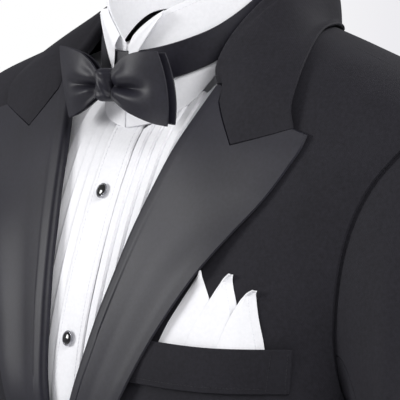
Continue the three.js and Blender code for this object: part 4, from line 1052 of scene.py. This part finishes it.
def shirt_body():
    rows = finer(SHIRT_ROWS, 4)[:, None]
    for word, side in SIDES:
        start = angle_at_x(np.maximum(SEAM / 2, shirt_neck_x(rows) + 1), rows)
        share = np.linspace(0, 1, 30)[None]
        out = shirt_out(rows) - BIB["under"] - SHIRT_WALL / 2
        angle = mix(start, front_limit(rows, SHIRT_CUT), share)
        mid = sided(on_body(angle, rows + 0 * share, out + 0 * share), side)
        cloth(f"shirt_front_{word}", mid, SHIRT_WALL, COTTON, waver=(80, 0.2))
    back = [-51.6, -80, -115, -150, -190, -228, -248, -260, SHIRT_CUT["top"], -345, -430, -560]
    back = finer(back, 6)[:, None]
    share = np.linspace(-1, 1, 60)[None]
    reach = math.pi - back_limit(back, SHIRT_CUT)
    out = shirt_out(back) - BIB["under"] - SHIRT_WALL / 2
    mid = on_body(math.pi - share * reach, back + 0 * share, out + 0 * share)
    cloth("shirt_back", mid, SHIRT_WALL, COTTON, waver=(80, 0.2))
    top = finer([YOKE["top"], -3, -14, -26, -38, YOKE["foot"]], 5)[:, None]
    start = angle_moved(YOKE["from"], top, SEAM)
    share = np.linspace(0, 1, 110)[None]
    out = shirt_out(top) - BIB["under"] - SHIRT_WALL / 2
    mid = on_body(mix(start, 2 * math.pi - start, share), top + 0 * share, out + 0 * share)
    cloth("shirt_yoke", mid, SHIRT_WALL, COTTON, waver=(80, 0.15))


# Cross-section of one pleat: share of its pitch, and how far out of the bib
PLEAT = table(
    ["share", "out"],
    [
        [0, -0.5], [0.05, -0.15], [0.16, 0.2], [0.4, 0.62], [0.65, 0.95], [0.82, 1.25],
        [0.885, 1.3], [0.915, 1.05], [0.93, 0.2], [0.955, -0.45],
    ],
)


def shirt_bibs():
    rows = [-42, -51.6, -62, PLACKET_TOP_Z, -90, STUD_ROWS[0], -145, -180, STUD_ROWS[1], -228, -248, -260]
    rows = finer([*rows, STUD_ROWS[2], BIB["foot"]], 6)
    neck = shirt_neck_x(rows)
    columns = []
    for i in range(PLEATS_A_SIDE):
        start = PLACKET_HALF + SEAM + i * PLEAT_PITCH
        columns += [(start + PLEAT_PITCH * s, o, i) for s, o in zip(PLEAT["share"], PLEAT["out"])]
    for word, side in SIDES:
        wander = 0.35 * np.sin(rows / 31 + side) + 0.25 * np.sin(rows / 12.3 + 2 * side)
        outer = []
        for x, o, i in columns:
            sway = wander * (0.4 + 0.25 * math.sin(2.1 * i))
            held = np.maximum(x + sway, neck - 6 + (x - PLACKET_HALF) * 0.02)
            flat = np.where(held > x + 1.5, 0.1, 1.0)
            outer.append(on_front(held, rows, shirt_out(rows) - 0.5 + o * flat))
        face = np.stack(outer, 1)
        mid = sided(face, side)
        normals = grid_normals(mid, False, (0, 0, -300))
        cloth(f"shirt_bib_{word}", mid - normals * 0.35, 0.7, COTTON, waver=(60, 0.1))


def shirt_placket():
    rows = [PLACKET_TOP_Z + 8, PLACKET_TOP_Z, -90, STUD_ROWS[0], -145, -180, STUD_ROWS[1], -228, -260]
    rows = finer([*rows, STUD_ROWS[2], -345, STUD_ROWS[3], BIB["placket"]], 8)[:, None]
    x = np.linspace(-PLACKET_HALF, PLACKET_HALF, 25)[None]
    crown = 0.35 * (1 - (x / PLACKET_HALF) ** 4)
    near_stud = sum(np.exp(-(((rows - z) / 7) ** 2)) for z in STUD_ROWS)
    dip = -0.35 * near_stud * np.exp(-((x / 7) ** 2))
    mid = on_front(x + 0 * rows, rows + 0 * x, shirt_out(rows) - 0.2 + crown + dip)
    _, mid, normals = cloth("shirt_placket", mid, 1.8, COTTON, waver=(60, 0.15))
    for word, column in (("left", 21), ("right", 3)):
        path = mid[:, column] + normals[:, column] * 0.95
        stitches(f"placket_stitches_{word}", path, normals[:, column], 2.6, 1.9, THREAD, 0.17)


SHIRT_SLEEVE = {"inset": 6.5, "grow": -6.6, "out": -7, "end": 0.87, "cuff": 0.8722, "show": 13}


def shirt_sleeves():
    shares = finer([0, 0.05, 0.11, 0.19, 0.28, CAP_SHARE, 0.63, SHIRT_SLEEVE["end"]], 6)[:, None]
    angles = np.linspace(0, 2 * math.pi, 49)[:-1][None]
    e = 0.004
    around = sleeve_face(angles + e, shares) - sleeve_face(angles - e, shares)
    down = sleeve_face(angles, shares + e) - sleeve_face(angles, np.maximum(shares - e, 0))
    inner = sleeve_face(angles, shares) - unit(np.cross(around, down)) * SHIRT_SLEEVE["inset"]
    start = armhole(angles + 0 * shares, SHIRT_SLEEVE["grow"], SHIRT_SLEEVE["out"])
    face = mix(start, inner, ease(shares, 0, 0.1)[..., None])
    top_z = mix(BICEP_Z, SLEEVE_HEM_Z, (SHIRT_SLEEVE["cuff"] - CAP_SHARE) / (1 - CAP_SHARE))
    cuff_z = np.linspace(top_z, SLEEVE_HEM_Z - SHIRT_SLEEVE["show"], 24)[:, None]
    turn = np.linspace(0, 2 * math.pi, 65)[:-1][None]
    ring = arm_ring(turn + 0 * cuff_z, cuff_z + 0 * turn, SHIRT_SLEEVE["inset"])
    ring[..., 2] = cuff_z + 2 * np.cos(turn)
    ring += ease(cuff_z, SLEEVE_HEM_Z + 40, SLEEVE_HEM_Z - 13)[..., None] * np.array([0.5, -2.5, 0])
    for word, side in SIDES:
        axis = (side * 235, -10, -450)
        cloth(
            f"shirt_sleeve_{word}", sided(face, side), SHIRT_WALL, COTTON,
            closed=True, axis=axis,
        )
        _, mid, normals = cloth(
            f"shirt_cuff_{word}", sided(ring, side), 1.6, COTTON,
            closed=True, waver=(60, 0.1), axis=axis,
        )
        out = np.concatenate([normals[21], normals[21, :1]])
        path = np.concatenate([mid[21], mid[21, :1]]) + out * 0.85
        stitches(f"cuff_stitches_{word}", path, out, 2.6, 1.9, THREAD, 0.17)


WING = {"from": 6.5, "to": 27, "wall": 1, "longest": 22, "shortest": 3}
WING_FALL = table(["down", "out"], [[0, 1.6], [0.12, 3.4], [0.25, 4.8], [0.6, 5.2], [1, 5.8]])


def shirt_collar():
    knots = [0.6, 12, 24, 36, 48, 60, 74, 90, 108, 126, 144, 162, 180]
    angles = finer([*knots, *[360 - a for a in knots[-2::-1]]], 5)[None] * DEG
    share = np.linspace(0, 1, 22)[:, None]
    low = read(STAND_LOW, "z", from_front(angles))
    out = 0.1 * np.sin(math.pi * share) + 0 * angles
    mid = round_neck(angles + 0 * share, mix(low, stand_top_z(angles), share), out)
    _, mid, normals = cloth(
        "shirt_stand", mid, 1.2, COTTON, waver=(50, 0.12), axis=NECK_MIDDLE
    )
    path = mid[-1] + normals[-1] * 0.6 - np.array([0, 0, 3.2])
    stitches("stand_stitches", path, normals[-1], 2.4, 1.7, THREAD, 0.17)
    for word, side in SIDES:
        down = finer(WING_FALL["down"], 6)[:, None]
        part = np.linspace(0, 1, 22)[None]
        angle = mix(WING["from"], WING["to"], part) * DEG
        drop = down * mix(WING["longest"], WING["shortest"], part)
        out = read(WING_FALL, "out", down) + 0 * part
        mid = sided(round_neck(angle + 0 * down, stand_top_z(angle) - drop, out), side)
        cloth(
            f"shirt_wing_{word}", mid, WING["wall"], COTTON,
            waver=(40, 0.05), axis=NECK_MIDDLE,
        )


def studs():
    rim = [
        [0.1, 0], [3.4, 0], [4.4, 0.3], [4.95, 0.9], [5, 1.35],
        [4.7, 1.75], [4.2, 1.9], [4.0, 1.75], [0.1, 1.7],
    ]
    face = [[0.1, 1.5], [4.0, 1.5], [4.0, 1.85], [3.4, 2.3], [2.3, 2.6], [1.2, 2.75], [0.1, 2.8]]
    for i, z in enumerate(STUD_ROWS):
        seat = on_front(0.0, z, float(shirt_out(z)) + 1.1 + SEAM)
        normal = body_normal(on_front(0.0, z))
        placed(f"stud_rim_{i + 1}", lathe_mesh("rim", rim, 36, seat, normal), SILVER)
        placed(f"stud_face_{i + 1}", lathe_mesh("face", face, 36, seat, normal), BLACK, [f"stud_{i + 1}"])


# Bow tie
BOW = {"y": -93, "z": -45.5, "knot": 8, "recede": 8, "shear": 0.26, "wall": 1.4}
BOW_TALL = table(
    ["share", "up", "down"],
    [
        [0, 9, 8.2], [0.12, 13.8, 10.8], [0.3, 18.2, 14.8],
        [0.5, 20.6, 18.2], [0.78, 22.2, 21.6], [1, 22.5, 23],
    ],
)
KNOT = table(
    ["v", "across", "deep", "back"],
    [
        [-10.5, 4, 3, 10.4], [-9, 7, 5.2, 12], [-4, 7.6, 6.2, 12.9],
        [4, 7.6, 6.2, 12.9], [9, 7.4, 5.4, 12], [10.5, 4.6, 3.2, 10.4],
    ],
)
# Folds of a wing: where each lies at the knot and at its end, its width, its depth (a trough is positive)
# and how far along the wing it reaches
BOW_FOLDS = table(
    ["v", "end", "width", "depth", "reach"],
    [
        [-0.1, -0.04, 0.14, 4.6, 0.8], [0.6, 0.72, 0.2, 0.9, 0.4],
        [-0.72, -0.8, 0.16, 0.8, 0.4], [-0.4, -0.46, 0.26, -2.2, 0.95], [0.3, 0.4, 0.3, -1.4, 0.9],
    ],
)


def bow_wing(side, y, reach, tall):
    t = np.linspace(0, 1, 50)[:, None]
    v = np.linspace(-1, 1, 65)[None]
    up, down = (read(BOW_TALL, end, t) * tall for end in ("up", "down"))
    z = v * np.where(v > 0, up, down)
    x = mix(BOW["knot"], reach + 3 * (1 - v * v) - side * BOW["shear"] * z, t)
    pinch = 2.4 * np.exp(-((v / 0.3) ** 2)) * (1 - t) ** 2
    puff = 2 * (1 - v * v) * np.sin(math.pi * t) + 1.2 * v * v * t
    folds = 0 * t * v
    for at, end, width, depth, run in zip(*(BOW_FOLDS[k] for k in ("v", "end", "width", "depth", "reach"))):
        fade = ease(t, 0, 0.16) * (1 - ease(t, run * 0.45, run))
        folds = folds + depth * np.exp(-(((v - mix(at, end, t)) / (width * (1 + 0.8 * t))) ** 2)) * fade
    yy = BOW["y"] + y + BOW["recede"] * t * t + pinch - puff + folds
    return vec(x * side, yy, BOW["z"] + z)


def bow_tie():
    angles = np.linspace(0, 2 * math.pi, 145)[:-1][None]
    end = np.linspace(1, -1, 15)[:, None]
    z = band_z(angles) + end * BAND["tall"] / 2
    out = BAND["clear"] + BAND["wall"] / 2 + 0.25 * (1 - end**2) + 0 * angles
    mid = round_neck(angles + 0 * end, z, out)
    cloth(
        "tie_band", mid, BAND["wall"], SATIN,
        closed=True, waver=(40, 0.1), axis=NECK_MIDDLE,
    )
    v = np.linspace(KNOT["v"][0], KNOT["v"][-1], 41)[:, None]
    a = np.linspace(0, 2 * math.pi, 145)[:-1][None]
    across, deep, back = (read(KNOT, k, v) for k in ("across", "deep", "back"))
    depth = np.where(np.cos(a) > 0, deep, back)
    twist = 0.11 * v
    front = np.maximum(np.cos(a), 0) ** 0.5
    ridge = 1 + front * (0.05 * np.cos(6 * (a + twist)) + 0.025 * np.cos(3 * (a + twist) + 1))
    waist = 1 - 0.14 * np.exp(-((v / 4.5) ** 2))
    p = vec(across * waist * np.sin(a) * ridge, BOW["y"] - depth * np.cos(a) * ridge, BOW["z"] + v + 0 * a)
    rows, columns = p.shape[:2]
    index = np.arange(rows * columns).reshape(rows, columns)
    wrap = np.concatenate([index, index[:, :1]], 1)
    quads = np.stack([wrap[:-1, :-1], wrap[:-1, 1:], wrap[1:, 1:], wrap[1:, :-1]], -1)
    faces = [*quads.reshape(-1, 4).tolist(), index[0, ::-1].tolist(), index[-1].tolist()]
    mesh = bpy.data.meshes.new("knot")
    mesh.from_pydata((p.reshape(-1, 3) * MM).tolist(), [], faces)
    mesh.update()
    placed("tie_knot_wrap", mesh, SATIN, ["tie_knot"])
    for word, side in SIDES:
        for layer, y, reach, tall in (("front", -1.6, 50, 1), ("back", 3.2, 52, 0.96)):
            cloth(
                f"bow_{layer}_{word}", bow_wing(side, y, reach, tall), BOW["wall"], SATIN,
                waver=(30, 0.25), axis=(0, 0, -45),
            )


# Trousers
TROUSER_OUT = -8.8
WAISTBAND = {"top": -394, "foot": -431, "wall": 2.4, "out": -8.6}
LEG = table(
    ["z", "x", "y", "across", "front", "back"],
    [
        [-1460, 104, 10, 65, 66, 70],
        [-1250, 102, 8, 67, 69, 73],
        [-960, 99, 3, 73, 77, 81],
        [-820, 96, 2, 83, 88, 90],
        [-700, 94, 4, 91.5, 102, 98],
        [-600, 94, 4, 92, 106, 100],
    ],
)
FORK = {"from": -600, "to": -712}
TROUSER_ROWS = [-432.4, -500, -570, -615, -650, -682, -713, -780, -960, -1200, TROUSER_HEM_Z]
PRESSED = {"proud": 4, "width": 0.1}


def trouser_point(facing, share, z, out):
    share, z = np.broadcast_arrays(np.asarray(share, float), np.asarray(z, float))
    angle = share * 90 * DEG if facing > 0 else math.pi - share * 90 * DEG
    hip = on_body(angle, np.maximum(z, HEM_Z), TROUSER_OUT + out + 0 * z)
    hip[..., 2] = z
    x, y, across, front, back = (read(LEG, n, z) for n in ("x", "y", "across", "front", "back"))
    turn = math.pi * (1 - share)
    depth = (front if facing > 0 else back) + out
    leg = vec(x + (across + out) * np.cos(turn), y - facing * depth * np.sin(turn), z)
    p = mix(hip, leg, ease(z, FORK["from"], FORK["to"])[..., None])
    pressed = facing * PRESSED["proud"] * np.exp(-(((share - 0.5) / PRESSED["width"]) ** 2))
    p[..., 1] -= pressed * ease(z, -470, -620)
    return p


def trousers():
    rows = np.concatenate([finer(TROUSER_ROWS[:7], 6)[:-1], finer(TROUSER_ROWS[6:], 22)])[:, None]
    share = np.linspace(0, 1, 61)[None]
    for word, side in SIDES:
        for part, facing in (("front", 1), ("back", -1)):
            p = trouser_point(facing, share, rows, -TROUSER_WALL / 2)
            p[:, 0, 0] = np.maximum(p[:, 0, 0], SEAM / 2)
            leg = ease(-rows, -FORK["from"], -FORK["to"])
            p[..., 1] -= facing * SEAM / 2 * np.maximum(share**40, (1 - share) ** 40 * leg)
            axis = (side * 98, 5, -1000)
            cloth(
                f"trouser_{part}_{word}", sided(p, side), TROUSER_WALL, WOOL,
                "trousers", axis=axis,
            )
        edge = np.linspace(-1, 1, 13)[None]
        mid = trouser_point(1, 1.0, rows, 1.0)
        mid = np.repeat(mid, 13, 1)
        mid[..., 1] += edge * 8
        mid[..., 0] -= 0.35 * np.abs(edge)
        cloth(
            f"side_braid_{word}", sided(mid, side), 1.0, SATIN,
            "trousers", axis=(0, 0, -1000),
        )
    z = np.linspace(WAISTBAND["top"], WAISTBAND["foot"], 14)[:, None]
    angles = np.linspace(0.004, 2 * math.pi - 0.004, 160)[None]
    mid = on_body(angles + 0 * z, z + 0 * angles, WAISTBAND["out"] - WAISTBAND["wall"] / 2 + 0 * z * angles)
    cloth("trouser_waistband", mid, WAISTBAND["wall"], WOOL, waver=(80, 0.1))


# Main creases
crease("jacket", (26, -119, -398), (92, -112, -352), 8, 1.3)
crease("jacket", (28, -118, -410), (104, -102, -424), 9, 1.2)
crease("jacket", (22, -119, -420), (66, -116, -500), 9, 1.0)
crease("jacket", (158, -78, -205), (150, -86, -335), 13, 1.8, 0.8)
crease("jacket", (172, -50, -380), (150, -72, -430), 9, -1.1)
crease("jacket", (176, 10, -395), (160, -52, -418), 8, 1.2)
crease("jacket", (150, 62, -60), (172, 66, -150), 10, 1.6)
crease("jacket", (128, 96, -150), (136, 86, -330), 15, 2.6, 0.8)
crease("jacket", (92, 108, -190), (100, 90, -400), 13, -1.1, 1.2)
crease("jacket", (30, 92, -425), (128, 76, -412), 9, 1.5, 0.7)
crease("jacket", (50, 90, -452), (140, 72, -446), 8, -1.0, 1.3)
crease("jacket", (-52, 78, -52), (48, 80, -47), 8, -0.9, 0)
crease("jacket", (186, 0, -470), (196, 10, -640), 18, 1.4, 0.7)
crease("sleeve", (228, -66, -120), (238, -74, -300), 9, 1.8, 0.8)
crease("sleeve", (262, -66, -330), (288, -52, -400), 10, 1.6)
crease("sleeve", (232, -60, -392), (282, -60, -430), 7, -1.8, 0.8)
crease("sleeve", (228, -58, -425), (292, -52, -452), 8, 2.0)
crease("sleeve", (228, -62, -470), (280, -66, -492), 7, -1.4, 1.2)
crease("sleeve", (308, -10, -440), (296, 34, -405), 11, 1.6)
crease("sleeve", (300, 30, -480), (268, 46, -462), 9, -1.2)
crease("sleeve", (226, -60, -560), (262, -78, -590), 8, 1.3, 0.8)
crease("sleeve", (250, 58, -160), (262, 62, -300), 12, 1.6, 0.7)
crease("sleeve", (208, 50, -240), (214, 46, -330), 9, 1.6)
crease("trousers", (12, -110, -640), (84, -112, -612), 11, 1.5, 0.8)
crease("trousers", (14, -92, -716), (96, -102, -690), 10, 1.6)
crease("trousers", (40, -84, -770), (120, -92, -742), 9, -1.2, 0.8)
crease("trousers", (30, 92, -760), (110, 92, -720), 12, 1.9)
crease("trousers", (40, 88, -820), (132, 84, -786), 11, -1.4, 0.8)
crease("trousers", (50, 80, -985), (140, 70, -960), 12, 1.8, 0.8)
crease("trousers", (48, 78, -1030), (130, 76, -1010), 10, -1.3)
crease("trousers", (44, -60, -1010), (120, -72, -990), 12, 1.4)
crease("trousers", (50, -52, -1385), (150, -48, -1362), 12, 2.2, 0.8)
crease("trousers", (52, -50, -1418), (140, -56, -1410), 9, -1.6)
crease("trousers", (54, 70, -1400), (146, 66, -1378), 11, 1.8)

jacket_body()
sleeves()
lapels()
collar()
chest_welt()
pocket_square()
hip_jets()
buttons()
shirt_body()
shirt_bibs()
shirt_placket()
shirt_sleeves()
shirt_collar()
studs()
bow_tie()
trousers()

# Floor, light and camera
floor_mesh = bpy.data.meshes.new("floor")
span = 6.0
floor_z = (TROUSER_HEM_Z - 6) * MM
corners = [(x * span, y * span, floor_z) for x, y in ((-1, -1), (1, -1), (1, 1), (-1, 1))]
floor_mesh.from_pydata(corners, [], [(0, 1, 2, 3)])
floor = bpy.data.objects.new("floor", floor_mesh)
bpy.context.scene.collection.objects.link(floor)
floor_mesh.materials.append(hard_material("floor", (236, 236, 238), 0.9))


def lamp(name, place, aim, size, power):
    data = bpy.data.lights.new(name, "AREA")
    data.shape = "RECTANGLE"
    data.size, data.size_y = size
    data.energy = power
    light = bpy.data.objects.new(name, data)
    light.location = place
    light.rotation_euler = (Vector(aim) - Vector(place)).to_track_quat("-Z", "Y").to_euler()
    bpy.context.scene.collection.objects.link(light)


lamp("key", (-1.45, -1.95, 0.4), (0.0, 0.0, -0.2), (0.8, 0.8), 38)
lamp("fill", (2.4, -0.5, 1.5), (0.0, 0.0, -0.2), (1.4, 1.4), 66)
lamp("rim", (0.2, 2.3, 1.4), (0.0, 0.0, -0.4), (1.6, 1.2), 26)

world = bpy.data.worlds.new("studio")
bpy.context.scene.world = world
world.use_nodes = True
sky = world.node_tree.nodes
wired = world.node_tree.links
sky["Background"].inputs["Color"].default_value = (0.93, 0.93, 0.955, 1)
sky["Background"].inputs["Strength"].default_value = 0.36
# Camera rays see a painted backdrop: white on one side, with painted shade down to light grey on the other.
# The suit is lit only by the dimmer, even colour set above.
painted_backdrop = sky.new("ShaderNodeBackground")
painted_backdrop.inputs["Strength"].default_value = 1.0
direction = sky.new("ShaderNodeTexCoord")
across = sky.new("ShaderNodeVectorMath")
across.operation = "DOT_PRODUCT"
across.inputs[1].default_value = (0.643, 0.761, 0.0)
backdrop_painted_shade = sky.new("ShaderNodeValToRGB")
backdrop_painted_shade.color_ramp.elements[0].position = 0.0
backdrop_painted_shade.color_ramp.elements[0].color = (1.0, 1.0, 1.0, 1)
backdrop_painted_shade.color_ramp.elements[1].position = 0.1
backdrop_painted_shade.color_ramp.elements[1].color = (*linear(232, 231, 236), 1)
ray = sky.new("ShaderNodeLightPath")
either = sky.new("ShaderNodeMixShader")
wired.new(direction.outputs["Generated"], across.inputs[0])
wired.new(across.outputs["Value"], backdrop_painted_shade.inputs["Fac"])
wired.new(backdrop_painted_shade.outputs["Color"], painted_backdrop.inputs["Color"])
wired.new(ray.outputs["Is Camera Ray"], either.inputs["Fac"])
wired.new(sky["Background"].outputs["Background"], either.inputs[1])
wired.new(painted_backdrop.outputs["Background"], either.inputs[2])
wired.new(either.outputs["Shader"], sky["World Output"].inputs["Surface"])

TARGET = Vector((0.0915, -0.090, -0.1116))
TOWARDS_CAMERA = Vector((0.7609, -0.6430, 0.0872))
DISTANCE = 1.5
SENSOR = 36
PICTURE_WIDTH = 400 / 1.64 * MM
CAMERA_ROLL = 1.3 * DEG
camera_data = bpy.data.cameras.new("camera")
camera = bpy.data.objects.new("camera", camera_data)
bpy.context.scene.collection.objects.link(camera)
camera.location = TARGET + DISTANCE * TOWARDS_CAMERA
camera_data.sensor_width = SENSOR
camera_data.lens = SENSOR * DISTANCE / PICTURE_WIDTH
look = (TARGET - camera.location).to_track_quat("-Z", "Y").to_matrix().to_4x4()
camera.matrix_world = Matrix.Translation(camera.location) @ look @ Matrix.Rotation(CAMERA_ROLL, 4, "Z")
bpy.context.scene.camera = camera
bpy.context.scene.view_settings.view_transform = "Standard"
